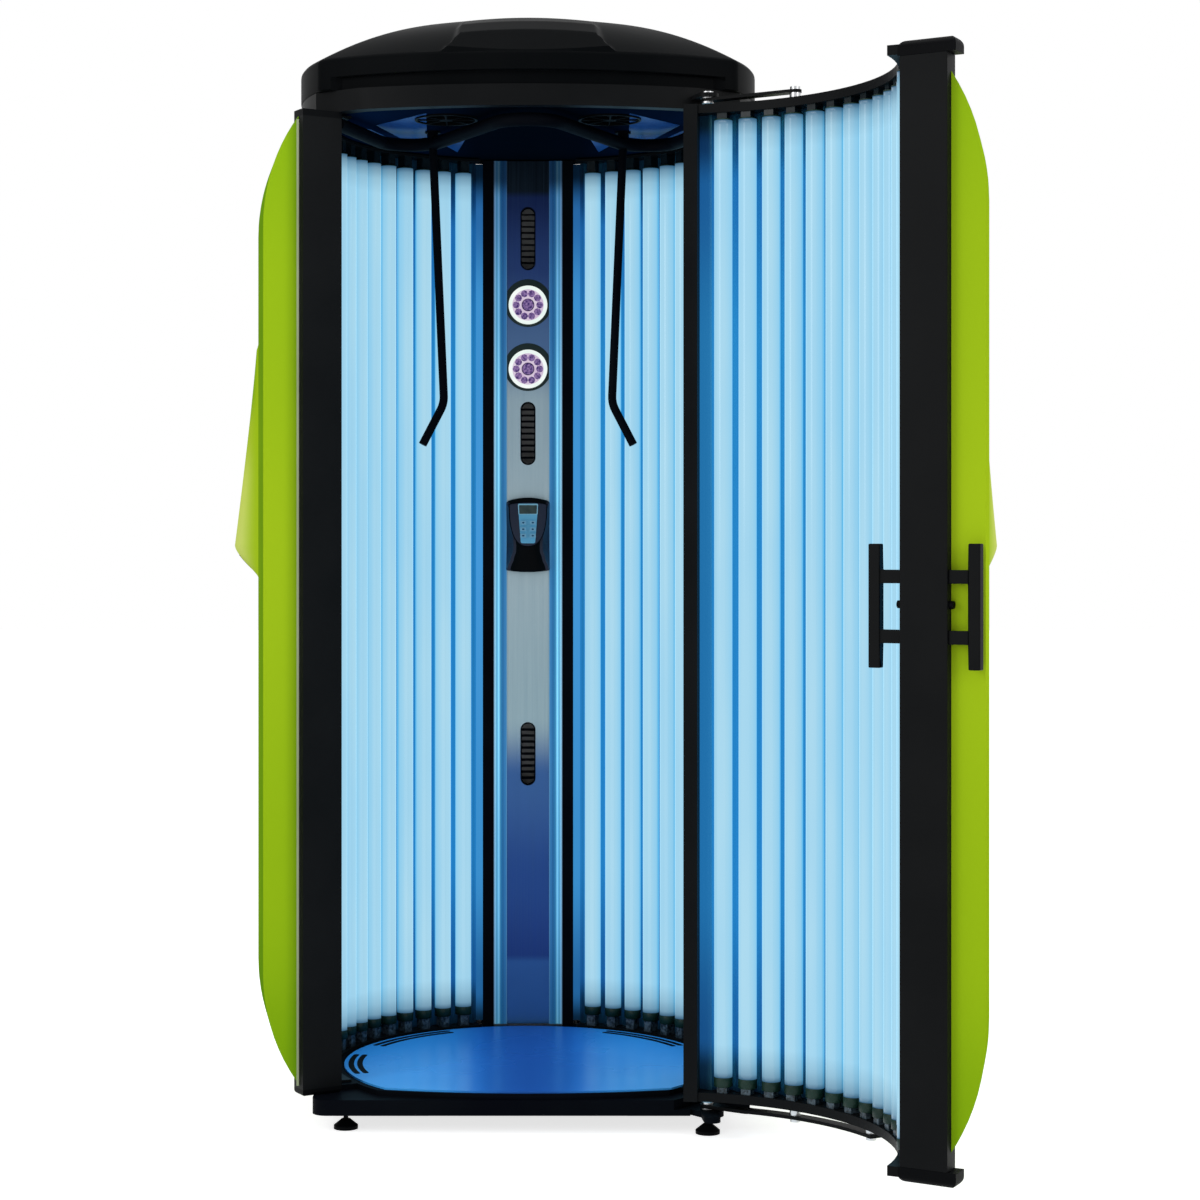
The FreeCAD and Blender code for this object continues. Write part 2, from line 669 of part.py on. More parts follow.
# ---------------------------------------------------------------- posts
post_bottom = BASE_TOP + CAP_HEIGHT
post_top = CANOPY_BOTTOM - CAP_HEIGHT
wall_angle = math.degrees(POST_WALL / POST_INNER)


def post(start, end, z0, z1):
    body = sector(POST_INNER, POST_OUTER, start, end, z0, z1)
    bore = sector(POST_INNER + POST_WALL, POST_OUTER - POST_WALL,
                  start + wall_angle, end - wall_angle, z0, z1)
    return body.cut(bore)


def cap(start, end, z0, z1, upward, inner=POST_INNER, outer=POST_OUTER, rounding=CAP_ROUND):
    body = sector(inner, outer, start, end, z0, z1)
    level = z1 if upward else z0
    rim = [edge for edge in body.Edges
           if all(abs(vertex.Z - level) < 0.01 for vertex in edge.Vertexes)]
    return body.makeFillet(rounding, rim)


save("left_post", post(left_post_end, LEFT_FACE, post_bottom, post_top))
save("right_post", post(RIGHT_FACE, right_post_end, post_bottom, post_top))
save("post_caps", [
    cap(left_post_end, LEFT_FACE, BASE_TOP, post_bottom, False),
    cap(RIGHT_FACE, right_post_end, BASE_TOP, post_bottom, False),
    sector(POST_INNER, POST_OUTER, left_post_end, LEFT_FACE, post_top, CANOPY_BOTTOM),
    sector(POST_INNER, POST_OUTER, RIGHT_FACE, right_post_end, post_top, CANOPY_BOTTOM),
])

# ---------------------------------------------------------------- lamp walls
left_wall_end = left_post_end - math.degrees(REFLECTOR_GAP / POST_INNER)


def ring_pair(z0, z1):
    left_plate = sector(RING_INNER, RING_OUTER, -REAR_STRIP_ANGLE, left_wall_end, z0, z1)
    right_plate = sector(RING_INNER, RING_OUTER, RIGHT_STRIP_END, REAR_STRIP_ANGLE, z0, z1)
    return [left_plate, right_plate]


save("lamp_rings", ring_pair(TRAY_TOP, LOWER_RING_TOP) + ring_pair(UPPER_RING_BOTTOM, CANOPY_BOTTOM))
save("cabin_lamps", lamps(cabin_lamp_row, LAMP_BOTTOM))
save("lamp_holders",
     holders(cabin_lamp_row, LOWER_RING_TOP, CABIN_HOLDER_HEIGHT)
     + holders(cabin_lamp_row, LAMP_TOP, CABIN_HOLDER_HEIGHT))
save("reflector_left",
     reflector(left_lamp_row, -REAR_STRIP_ANGLE, left_wall_end, LOWER_RING_TOP, UPPER_RING_BOTTOM))
save("reflector_right",
     reflector(right_lamp_row, RIGHT_STRIP_END, REAR_STRIP_ANGLE, LOWER_RING_TOP, UPPER_RING_BOTTOM))

# ---------------------------------------------------------------- column
rail_front = COLUMN_FACE - RAIL_PROUD
rails = []
trims = []
for side in (-1, 1):
    x0, x1 = sorted((side * PANEL_HALF, side * RAIL_OUTER))
    bar = block(x0, x1, rail_front, DUCT_FRONT, FLOOR_TOP, CANOPY_BOTTOM)
    for groove in (9, 19):
        middle = side * (PANEL_HALF + groove)
        bar = bar.cut(block(middle - 1.5, middle + 1.5, rail_front, rail_front + 3, FLOOR_TOP, CANOPY_BOTTOM))
    rails.append(bar)
    x0, x1 = sorted((side * RAIL_OUTER, side * TRIM_OUTER))
    trims.append(block(x0, x1, rail_front + 2, DUCT_FRONT, BASE_TOP, CANOPY_BOTTOM))
save("column_rails", rails)
save("column_trims", trims)


def slot_solid(half_width, half_height, middle, y0, y1):
    upright = block(-half_width, half_width, y0, y1, middle - half_height + half_width,
                    middle + half_height - half_width)
    ends = [
        Part.makeCylinder(half_width, y1 - y0, FreeCAD.Vector(0, y0, middle + sign * (half_height - half_width)),
                          FreeCAD.Vector(0, 1, 0))
        for sign in (-1, 1)
    ]
    return fused([upright] + ends)


panel_back = COLUMN_FACE + PANEL_SHEET
panel = block(-PANEL_HALF, PANEL_HALF, COLUMN_FACE, panel_back, FLOOR_TOP, CANOPY_BOTTOM)
nozzles = []
for middle in SLOT_HEIGHTS:
    opening = slot_solid(SLOT_WIDTH / 2, SLOT_HEIGHT / 2, middle, COLUMN_FACE - 1, DUCT_FRONT)
    panel = panel.cut(opening)
    body = opening.cut(slot_solid(SLOT_WIDTH / 2 - NOZZLE_WALL, SLOT_HEIGHT / 2 - NOZZLE_WALL,
                                  middle, COLUMN_FACE - 1, DUCT_FRONT))
    reach = SLOT_WIDTH / 2 - NOZZLE_WALL + 0.5
    pitch = (SLOT_HEIGHT - SLOT_WIDTH) / (VANE_COUNT - 1)
    vanes = []
    for index in range(VANE_COUNT):
        height = middle - (SLOT_HEIGHT - SLOT_WIDTH) / 2 + index * pitch
        vane = block(-reach, reach, COLUMN_FACE + 1, COLUMN_FACE + 11, height - 0.6, height + 0.6)
        vane.rotate(FreeCAD.Vector(0, COLUMN_FACE + 6, height), FreeCAD.Vector(1, 0, 0), VANE_TILT)
        vanes.append(vane)
    nozzles.append(fused([body] + vanes))
face_rings = []
face_lenses = []
for height in FACE_LAMP_HEIGHTS:
    centre = FreeCAD.Vector(0, COLUMN_FACE - 4, height)
    along = FreeCAD.Vector(0, 1, 0)
    well = Part.makeCylinder(FACE_LENS_RADIUS, PANEL_SHEET + 4, centre, along)
    panel = panel.cut(well)
    bezel = Part.makeCylinder(FACE_RING_RADIUS, 4, centre, along)
    ring = bezel.cut(Part.makeCylinder(FACE_LENS_RADIUS, 4, centre, along))
    face_rings.append(ring.common(block(-PANEL_HALF - 10, PANEL_HALF + 10, 0, COLUMN_FACE + 60,
                                        height - 80, height + 80)))
    face_lenses.append(Part.makeCylinder(
        FACE_LENS_RADIUS, PANEL_SHEET, FreeCAD.Vector(0, COLUMN_FACE, height), along))
ring_trim = Part.makeCompound(rails)
save("column_panel", panel)
save("air_nozzles", nozzles)
save("face_lamp_rings", [ring.cut(ring_trim) for ring in face_rings])
save("face_lamp_lenses", face_lenses)

duct = block(-RAIL_OUTER, RAIL_OUTER, DUCT_FRONT, DUCT_FRONT + DUCT_DEPTH, BASE_TOP, CANOPY_BOTTOM)
duct = duct.cut(block(-RAIL_OUTER + DUCT_WALL, RAIL_OUTER - DUCT_WALL, DUCT_FRONT + DUCT_WALL,
                      DUCT_FRONT + DUCT_DEPTH - DUCT_WALL, BASE_TOP, CANOPY_BOTTOM))
duct_ports = [slot_solid(SLOT_WIDTH / 2 - NOZZLE_WALL, SLOT_HEIGHT / 2 - NOZZLE_WALL, middle,
                         DUCT_FRONT - 1, DUCT_FRONT + DUCT_WALL + 1) for middle in SLOT_HEIGHTS]
save("column_duct", duct.cut(Part.makeCompound(duct_ports)))

pod_front = COLUMN_FACE - POD_DEPTH
pod_outline = [
    FreeCAD.Vector(-POD_HALF + POD_TAPER, pod_front, POD_BOTTOM),
    FreeCAD.Vector(POD_HALF - POD_TAPER, pod_front, POD_BOTTOM),
    FreeCAD.Vector(POD_HALF, pod_front, POD_BOTTOM + 60),
    FreeCAD.Vector(POD_HALF - 3, pod_front, POD_TOP),
    FreeCAD.Vector(-POD_HALF + 3, pod_front, POD_TOP),
    FreeCAD.Vector(-POD_HALF, pod_front, POD_BOTTOM + 60),
]
pod = Part.Face(Part.makePolygon(pod_outline + [pod_outline[0]])).extrude(FreeCAD.Vector(0, POD_DEPTH, 0))
corner_edges = [edge for edge in pod.Edges
                if abs(edge.Vertexes[0].Y - edge.Vertexes[-1].Y) > POD_DEPTH - 1]
pod = pod.makeFillet(14, corner_edges)
front_edges = [edge for edge in pod.Edges
               if all(abs(vertex.Y - pod_front) < 0.01 for vertex in edge.Vertexes)]
pod = pod.makeChamfer(9, front_edges)
pod = pod.cut(Part.makeCompound(rails))
window = block(-DISPLAY_HALF, DISPLAY_HALF, pod_front, pod_front + 3, DISPLAY_BOTTOM,
               DISPLAY_BOTTOM + DISPLAY_HEIGHT)
pod = pod.cut(window)
keys = []
for row_index in range(3):
    for column in (-0.5, 0.5):
        x = column * KEY_PITCH_X
        z = KEY_TOP_ROW - row_index * KEY_PITCH_Z
        keys.append(block(x - KEY_WIDTH / 2, x + KEY_WIDTH / 2, pod_front - KEY_PROUD,
                          pod_front + KEY_DEEP, z - KEY_HEIGHT / 2, z + KEY_HEIGHT / 2))
        pod = pod.cut(block(x - KEY_WIDTH / 2 - KEY_GAP, x + KEY_WIDTH / 2 + KEY_GAP, pod_front,
                            pod_front + KEY_DEEP + KEY_TRAVEL + KEY_GAP,
                            z - KEY_HEIGHT / 2 - KEY_GAP, z + KEY_HEIGHT / 2 + KEY_GAP))
save("pod_housing", pod)
save("pod_display", window)
for index, key in enumerate(keys):
    save("key_" + str(index + 1), key)

# ---------------------------------------------------------------- canopy
shoulder = polar(CANOPY_RADIUS, CANOPY_SHOULDER)


def canopy_plan(inset, z0, z1):
    scale = (CANOPY_RADIUS - inset) / CANOPY_RADIUS
    side_x = CANOPY_SIDE_X * scale
    side_y = -CANOPY_SIDE_Y + inset
    turn_x = shoulder.x * scale
    turn_y = shoulder.y * scale + inset * 0.3
    front = FreeCAD.Vector(0, -CANOPY_FRONT + inset, 0)
    left_front = FreeCAD.Vector(-side_x, side_y, 0)
    right_front = FreeCAD.Vector(side_x, side_y, 0)
    left_turn = FreeCAD.Vector(-turn_x, turn_y, 0)
    right_turn = FreeCAD.Vector(turn_x, turn_y, 0)
    back = FreeCAD.Vector(0, CANOPY_RADIUS - inset, 0)
    edges = [
        Part.Arc(left_front, front, right_front).toShape(),
        Part.makeLine(right_front, right_turn),
        Part.Arc(right_turn, back, left_turn).toShape(),
        Part.makeLine(left_turn, left_front),
    ]
    return prism(edges, z0, z1)


fan_centres = (-FAN_OFFSET, FAN_OFFSET)
ring = canopy_plan(0, CANOPY_BOTTOM, CANOPY_TOP)
ring = ring.cut(canopy_plan(CANOPY_WALL, CANOPY_BOTTOM, CANOPY_TOP - CANOPY_PLATE))
ports = [rod(x, -FAN_Y, CANOPY_BOTTOM, CANOPY_TOP, FAN_RADIUS) for x in fan_centres]
save("canopy_ring", ring.cut(Part.makeCompound(ports)))

ceiling_top = CANOPY_BOTTOM + CEILING_LIFT + CEILING_THICKNESS
ceiling = canopy_plan(CANOPY_WALL, CANOPY_BOTTOM + CEILING_LIFT, ceiling_top)
save("ceiling_panel", ceiling.cut(Part.makeCompound(ports)))

housings = []
grilles = []
for x in fan_centres:
    tube = rod(x, 0, ceiling_top, CANOPY_TOP - CANOPY_PLATE, FAN_RADIUS + FAN_RING)
    tube = tube.cut(rod(x, 0, ceiling_top, CANOPY_TOP, FAN_RADIUS))
    top = CANOPY_TOP - CANOPY_PLATE
    spider = [block(x - FAN_RADIUS - 1, x + FAN_RADIUS + 1, -4, 4, top - 5, top),
              block(x - 4, x + 4, -FAN_RADIUS - 1, FAN_RADIUS + 1, top - 5, top)]
    motor = rod(x, 0, top - 5, top, HUB_RADIUS)
    shaft = rod(x, 0, ceiling_top + 4, top, FAN_SHAFT)
    housings.append(fused([tube, motor, shaft] + spider))
    frame_ring = rod(x, 0, CANOPY_BOTTOM, ceiling_top, FAN_RADIUS)
    frame_ring = frame_ring.cut(rod(x, 0, CANOPY_BOTTOM, ceiling_top, FAN_RADIUS - 5))
    bars = []
    for bar_index in range(GRILLE_BARS):
        angle = 180.0 * bar_index / GRILLE_BARS
        bar = block(-FAN_RADIUS + 3, FAN_RADIUS - 3, -1.5, 1.5, CANOPY_BOTTOM, CANOPY_BOTTOM + 3)
        bar.rotate(ORIGIN, UP, angle)
        bars.append(translated(bar, x, 0, 0))
    grilles.append(fused([frame_ring, rod(x, 0, CANOPY_BOTTOM, CANOPY_BOTTOM + 3, 14)] + bars))
save("fan_housings", [translated(housing, 0, -FAN_Y, 0) for housing in housings])
save("fan_grilles", [translated(grille, 0, -FAN_Y, 0) for grille in grilles])

rotor_bottom = ceiling_top + 6
rotor_top = CANOPY_TOP - CANOPY_PLATE - 8
for name, x in zip(("fan_rotor_left", "fan_rotor_right"), fan_centres):
    hub = rod(0, 0, rotor_bottom, rotor_top, HUB_RADIUS)
    blades = []
    for blade_index in range(FAN_BLADES):
        blade = block(HUB_RADIUS - 3, FAN_RADIUS - BLADE_CLEARANCE, -1, 1,
                      rotor_bottom - 20, rotor_top + 20)
        middle = (rotor_bottom + rotor_top) / 2
        blade.rotate(FreeCAD.Vector(0, 0, middle), FreeCAD.Vector(1, 0, 0), 50)
        blade = blade.common(rod(0, 0, rotor_bottom, rotor_top, FAN_RADIUS - BLADE_CLEARANCE))
        blade.rotate(ORIGIN, UP, 360.0 * blade_index / FAN_BLADES)
        blades.append(blade)
    rotor = fused([hub] + blades).cut(rod(0, 0, rotor_bottom, rotor_top, FAN_SHAFT + RUNNING_FIT))
    save(name, translated(rotor, x, -FAN_Y, 0))


def lid_section(share, inset, level):
    """Outline of the lid scaled about the cabin axis."""
    scale = share * (LID_RADIUS - inset) / LID_RADIUS
    right = polar(LID_RADIUS * scale, LID_CORNER_ANGLE, level)
    left = polar(LID_RADIUS * scale, -LID_CORNER_ANGLE, level)
    front = FreeCAD.Vector(0, -LID_FRONT * scale, level)
    back = FreeCAD.Vector(0, LID_RADIUS * scale, level)
    return Part.Wire([
        Part.Arc(left, front, right).toShape(),
        Part.Arc(right, back, left).toShape(),
    ])


def lid_body(inset, bottom):
    """Upright band with a crown that falls away faster towards its rim."""
    sections = [lid_section(1.0, inset, bottom)]
    for share in LID_STEPS:
        rise = LID_BAND_TOP + LID_RISE * (1 - share ** LID_ROUNDNESS)
        sections.append(lid_section(share, inset, CANOPY_TOP + rise - inset))
    return Part.makeLoft(sections, True, True)


def raised_panel():
    """Raised middle of the lid with a steep front and a shallow top."""
    foot = FreeCAD.Vector(0, -LID_FRONT, CANOPY_TOP + LID_BAND_TOP)
    crease = FreeCAD.Vector(0, -RAISED_CREASE_Y, CANOPY_TOP + RAISED_CREASE_RISE)
    middle = FreeCAD.Vector(0, -RAISED_MIDDLE_Y, CANOPY_TOP + RAISED_MIDDLE_RISE)
    rear = FreeCAD.Vector(0, -RAISED_REAR_Y, CANOPY_TOP + RAISED_REAR_RISE)
    rear_foot = FreeCAD.Vector(0, -RAISED_REAR_Y, CANOPY_TOP + LID_BAND_TOP)
    side = Part.Face(Part.Wire([
        Part.makeLine(foot, crease),
        Part.Arc(crease, middle, rear).toShape(),
        Part.makeLine(rear, rear_foot),
        Part.makeLine(rear_foot, foot),
    ]))
    slab = side.extrude(FreeCAD.Vector(2 * RAISED_FOOT_HALF, 0, 0))
    slab.translate(FreeCAD.Vector(-RAISED_FOOT_HALF, 0, 0))
    plan = polygon([
        FreeCAD.Vector(-RAISED_FOOT_HALF, -LID_FRONT, 0),
        FreeCAD.Vector(RAISED_FOOT_HALF, -LID_FRONT, 0),
        FreeCAD.Vector(RAISED_CREASE_HALF, -RAISED_CREASE_Y, 0),
        FreeCAD.Vector(RAISED_REAR_HALF, -RAISED_REAR_Y, 0),
        FreeCAD.Vector(-RAISED_REAR_HALF, -RAISED_REAR_Y, 0),
        FreeCAD.Vector(-RAISED_CREASE_HALF, -RAISED_CREASE_Y, 0),
    ], CANOPY_TOP, CANOPY_TOP + 2 * LID_RISE)
    return slab.common(plan)


lid_outline = Part.Face(lid_section(1.0, 0, CANOPY_TOP)).extrude(FreeCAD.Vector(0, 0, 2 * LID_RISE))
lid = fused([lid_body(0, CANOPY_TOP), raised_panel().common(lid_outline)])
undercut = lid_outline.common(block(-NECK_HALF, NECK_HALF, -LID_RADIUS, -NECK_REAR_Y,
                                    CANOPY_TOP, CANOPY_TOP + NECK_HEIGHT))
undercut = undercut.cut(canopy_plan(NECK_INSET, CANOPY_TOP, CANOPY_TOP + NECK_HEIGHT))
hollow = canopy_plan(NECK_INSET + LID_WALL, CANOPY_TOP - LID_WALL, CANOPY_TOP + 2 * LID_RISE)
hollow = hollow.common(lid_body(LID_WALL, CANOPY_TOP - LID_WALL))
save("dome", lid.cut(undercut).cut(hollow))


# ---------------------------------------------------------------- grab bar
def bent_tube(points, bends, radius):
    """Round tube along straight runs joined by tangent arcs."""
    pieces = []
    start = points[0]
    for index in range(1, len(points) - 1):
        corner = points[index]
        bend = bends[index - 1]
        before = points[index - 1] - corner
        after = points[index + 1] - corner
        before.normalize()
        after.normalize()
        opening = before.getAngle(after)
        reach = bend / math.tan(opening / 2)
        middle_way = before + after
        middle_way.normalize()
        centre = corner + middle_way * (bend / math.sin(opening / 2))
        enter = corner + before * reach
        leave = corner + after * reach
        axis = (enter - centre).cross(leave - centre)
        axis.normalize()
        pieces.append(Part.makeCylinder(radius, start.distanceToPoint(enter), start, enter - start))
        section = Part.Face(Part.Wire(Part.makeCircle(radius, enter, before)))
        pieces.append(section.revolve(centre, axis, 180 - math.degrees(opening)))
        start = leave
    pieces.append(Part.makeCylinder(radius, start.distanceToPoint(points[-1]), start, points[-1] - start))
    return fused(pieces)


left_end = polar(POST_INNER, BAR_LEFT_ANGLE, BAR_HEIGHT)
right_end = polar(POST_INNER, BAR_RIGHT_ANGLE, BAR_HEIGHT)
bar_points = [
    left_end,
    FreeCAD.Vector(-BAR_BACK_X, BAR_BACK_Y, BAR_HEIGHT),
    FreeCAD.Vector(0, -BAR_FRONT_Y, BAR_HEIGHT),
    FreeCAD.Vector(BAR_BACK_X, BAR_BACK_Y, BAR_HEIGHT),
    right_end,
]
grab_bar = bent_tube(bar_points, [BAR_BACK_BEND, BAR_FRONT_BEND, BAR_BACK_BEND], BAR_RADIUS)
post_bores = rod(0, 0, 0, CANOPY_TOP, POST_INNER)
save("grab_bar", grab_bar.common(post_bores))


def bar_spot(side):
    """Centre of the bar on its back bend, at the distance of the hanging grips from the middle."""
    corner = FreeCAD.Vector(side * BAR_BACK_X, BAR_BACK_Y, BAR_HEIGHT)
    ends = {-1: left_end, 1: right_end}
    before = ends[side] - corner
    after = FreeCAD.Vector(0, -BAR_FRONT_Y, BAR_HEIGHT) - corner
    before.normalize()
    after.normalize()
    half_turn = before.getAngle(after) / 2
    middle_way = before + after
    middle_way.normalize()
    centre = corner + middle_way * (BAR_BACK_BEND / math.sin(half_turn))
    aside = side * GRIP_X - centre.x
    return FreeCAD.Vector(side * GRIP_X, centre.y + math.sqrt(BAR_BACK_BEND ** 2 - aside ** 2), BAR_HEIGHT)


grips = []
clamps = []
for side in (-1, 1):
    spot = bar_spot(side)
    ceiling_face = CANOPY_BOTTOM + CEILING_LIFT
    clamps.append(rod(spot.x, spot.y, BAR_HEIGHT + BAR_RADIUS - 3, ceiling_face, DROP_RADIUS))
    clamps.append(rod(spot.x, spot.y, ceiling_face - 4, ceiling_face, CLAMP_RADIUS))
    hang_top = BAR_HEIGHT - BAR_RADIUS + 3
    stem = bent_tube([
        FreeCAD.Vector(spot.x, spot.y, hang_top),
        FreeCAD.Vector(spot.x - side * GRIP_LEAN, spot.y, GRIP_BEND_HEIGHT),
        FreeCAD.Vector(spot.x + side * (GRIP_SPREAD - GRIP_LEAN), spot.y - GRIP_TURN, GRIP_END_HEIGHT),
    ], [GRIP_BEND], GRIP_RADIUS)
    grips.append(stem)
bar_solid = grab_bar.common(post_bores)
hangers = [fused(clamps[0:2]), fused(clamps[2:4])]
save("hanging_grips", [piece.cut(bar_solid) for piece in grips + hangers])

# ---------------------------------------------------------------- door hinge on the cabin
bracket = bar_between(HINGE_X, HINGE_Y, HINGE_X - 24, HINGE_Y + 80, 44,
                      BRACKET_BOTTOM, BRACKET_BOTTOM + BRACKET_THICKNESS)
bracket = bracket.cut(canopy_plan(0, CANOPY_BOTTOM, CANOPY_TOP))
save("hinge_bracket", bracket.cut(rod(HINGE_X, HINGE_Y, 0, CANOPY_TOP, PIN_RADIUS)))
lower_pin = fused([
    rod(HINGE_X, HINGE_Y, FOOT_HEIGHT, ARM_BOTTOM + ARM_THICKNESS + PIN_FLOAT, PIN_RADIUS),
    rod(HINGE_X, HINGE_Y, OUTRIGGER_TOP, OUTRIGGER_TOP + PIN_COLLAR_HEIGHT, PIN_COLLAR),
    rod(HINGE_X, HINGE_Y, ARM_BOTTOM + ARM_THICKNESS + PIN_FLOAT,
        ARM_BOTTOM + ARM_THICKNESS + PIN_FLOAT + PIN_HEAD, BOLT_HEAD_RADIUS + 2),
])
top_arm_top = TOP_ARM_BOTTOM + TOP_ARM_THICKNESS
upper_pin = fused([
    rod(HINGE_X, HINGE_Y, TOP_ARM_BOTTOM - PIN_FLOAT, BRACKET_BOTTOM + BRACKET_THICKNESS, PIN_RADIUS),
    rod(HINGE_X, HINGE_Y, top_arm_top + PIN_FLOAT, BRACKET_BOTTOM, PIN_COLLAR),
    rod(HINGE_X, HINGE_Y, TOP_ARM_BOTTOM - PIN_FLOAT - PIN_HEAD, TOP_ARM_BOTTOM - PIN_FLOAT, BOLT_HEAD_RADIUS + 2),
    rod(HINGE_X, HINGE_Y, BRACKET_BOTTOM + BRACKET_THICKNESS,
        BRACKET_BOTTOM + BRACKET_THICKNESS + PIN_HEAD, BOLT_HEAD_RADIUS + 2),
])
save("hinge_pins", [lower_pin, upper_pin])

# ---------------------------------------------------------------- door
rail_bottom_top = DOOR_BOTTOM + DOOR_RAIL
rail_top_bottom = DOOR_TOP - DOOR_RAIL
save_door("door_rails", [
    sector(RAIL_INNER, RING_OUTER, door_pillar_end, STILE_START, DOOR_BOTTOM, rail_bottom_top),
    sector(RAIL_INNER, RING_OUTER, door_pillar_end, STILE_START, rail_top_bottom, DOOR_TOP),
])
save_door("door_stile", sector(STILE_INNER, RING_OUTER, STILE_START, STILE_END, DOOR_BOTTOM, DOOR_TOP))
pillar_low = DOOR_BOTTOM + PILLAR_CAP_HEIGHT
pillar_high = DOOR_TOP - PILLAR_CAP_HEIGHT
save_door("door_pillar", post(DOOR_FREE, door_pillar_end, pillar_low, pillar_high))
save_door("door_pillar_caps", [
    cap(DOOR_FREE, door_pillar_end, z0, z1, upward, POST_INNER - PILLAR_CAP_INNER,
        POST_OUTER + PILLAR_CAP_PROUD, PILLAR_CAP_ROUND)
    for z0, z1, upward in ((DOOR_BOTTOM, pillar_low, False), (pillar_high, DOOR_TOP, True))
])
save_door("door_reflector", reflector(
    door_lamp_row, door_pillar_end + math.degrees(REFLECTOR_GAP / POST_INNER),
    STILE_START, rail_bottom_top, rail_top_bottom))
save_door("door_lamps", lamps(door_lamp_row, rail_bottom_top + DOOR_HOLDER))
save_door("door_lamp_holders",
          holders(door_lamp_row, rail_bottom_top, DOOR_HOLDER)
          + holders(door_lamp_row, rail_top_bottom - DOOR_HOLDER, DOOR_HOLDER))
door_sweep = DOOR_COVER_END - DOOR_FREE
door_cover = side_cover(DOOR_LIP_RADIUS, door_sweep, pillar_low, pillar_high)
door_cover = turned(door_cover, DOOR_FREE)
save_door("door_cover", door_cover.cut(turned(intake(), DOOR_SCOOP_ANGLE)))
save_door("door_scoop", turned(scoop(), DOOR_SCOOP_ANGLE))
closing = cover_solid(0, pillar_low, pillar_high, RING_OUTER, DOOR_COVER_END,
                      DOOR_COVER_END + math.degrees(TRIM_SHEET / COVER_RADIUS))
save_door("door_edge_trim", closing)

lower_arm = fused([
    sector(ARM_CIRCLE - ARM_WIDTH / 2, ARM_CIRCLE + ARM_WIDTH / 2, ARM_END_ANGLE - 2, 41,
           ARM_BOTTOM, ARM_BOTTOM + ARM_THICKNESS),
    bar_between(HINGE_X, HINGE_Y, polar(ARM_CIRCLE, 40).x, polar(ARM_CIRCLE, 40).y, ARM_WIDTH + 4,
                ARM_BOTTOM, ARM_BOTTOM + ARM_THICKNESS),
])
bolt_spot = polar(ARM_CIRCLE, ARM_BOLT_ANGLE)
end_spot = polar(ARM_CIRCLE, ARM_END_ANGLE)
upper_arm = bar_between(HINGE_X, HINGE_Y, bolt_spot.x, bolt_spot.y, ARM_WIDTH, TOP_ARM_BOTTOM, top_arm_top)
arm_bore = rod(HINGE_X, HINGE_Y, 0, CANOPY_TOP, PIN_RADIUS + RUNNING_FIT)
save_door("hinge_arms", [lower_arm.cut(arm_bore), upper_arm.cut(arm_bore)])
fasteners = []
for spot in (bolt_spot, end_spot):
    fasteners.append(rod(spot.x, spot.y, ARM_BOTTOM + ARM_THICKNESS, DOOR_BOTTOM, SPACER_RADIUS))
    fasteners.append(rod(spot.x, spot.y, ARM_BOTTOM - BOLT_HEAD_HEIGHT, ARM_BOTTOM, BOLT_HEAD_RADIUS))
fasteners.append(rod(bolt_spot.x, bolt_spot.y, DOOR_TOP, TOP_ARM_BOTTOM, SPACER_RADIUS))
fasteners.append(rod(bolt_spot.x, bolt_spot.y, top_arm_top, top_arm_top + BOLT_HEAD_HEIGHT, BOLT_HEAD_RADIUS))
save_door("arm_fasteners", fasteners)


def handle(bar_radius, face_radius):
    """Pull handle on a pillar face, modelled with the free edge on azimuth 0."""
    low, high = sorted((bar_radius, face_radius))
    outward = bar_radius > face_radius
    near = -bar_radius - HANDLE_WIDTH / 2
    grip = block(HANDLE_INSET - HANDLE_DEPTH / 2, HANDLE_INSET + HANDLE_DEPTH / 2,
                 near, near + HANDLE_WIDTH, HANDLE_BOTTOM, HANDLE_TOP)
    pieces = [grip]
    for height in STANDOFF_HEIGHTS:
        end = -face_radius + (3 if outward else 0)
        start = -face_radius - (0 if outward else 3)
        y0, y1 = (-bar_radius, end) if outward else (start, -bar_radius)
        pieces.append(block(HANDLE_INSET - STANDOFF_DEPTH / 2, HANDLE_INSET + STANDOFF_DEPTH / 2,
                            y0, y1, height - STANDOFF_HEIGHT / 2, height + STANDOFF_HEIGHT / 2))
    solid = fused(pieces)
    tube = rod(0, 0, 0, CANOPY_TOP, POST_OUTER)
    if outward:
        return turned(solid.cut(tube), DOOR_FREE)
    return turned(solid.common(rod(0, 0, 0, CANOPY_TOP, POST_INNER)), DOOR_FREE)


save_door("door_handles", [handle(HANDLE_OUTER, POST_OUTER), handle(HANDLE_INNER, POST_INNER)])


def knob(face_radius, outward):
    start = FreeCAD.Vector(HANDLE_INSET, -face_radius, KNOB_HEIGHT)
    if outward:
        body = Part.makeCylinder(KNOB_RADIUS, KNOB_LENGTH, start + FreeCAD.Vector(0, 1, 0), FreeCAD.Vector(0, -1, 0))
        return turned(body.cut(rod(0, 0, 0, CANOPY_TOP, POST_OUTER)), DOOR_FREE)
    body = Part.makeCylinder(KNOB_RADIUS, KNOB_LENGTH, start + FreeCAD.Vector(0, -1, 0), FreeCAD.Vector(0, 1, 0))
    return turned(body.common(rod(0, 0, 0, CANOPY_TOP, POST_INNER)), DOOR_FREE)


save_door("door_latch_knobs", [knob(POST_OUTER, True), knob(POST_INNER, False)])

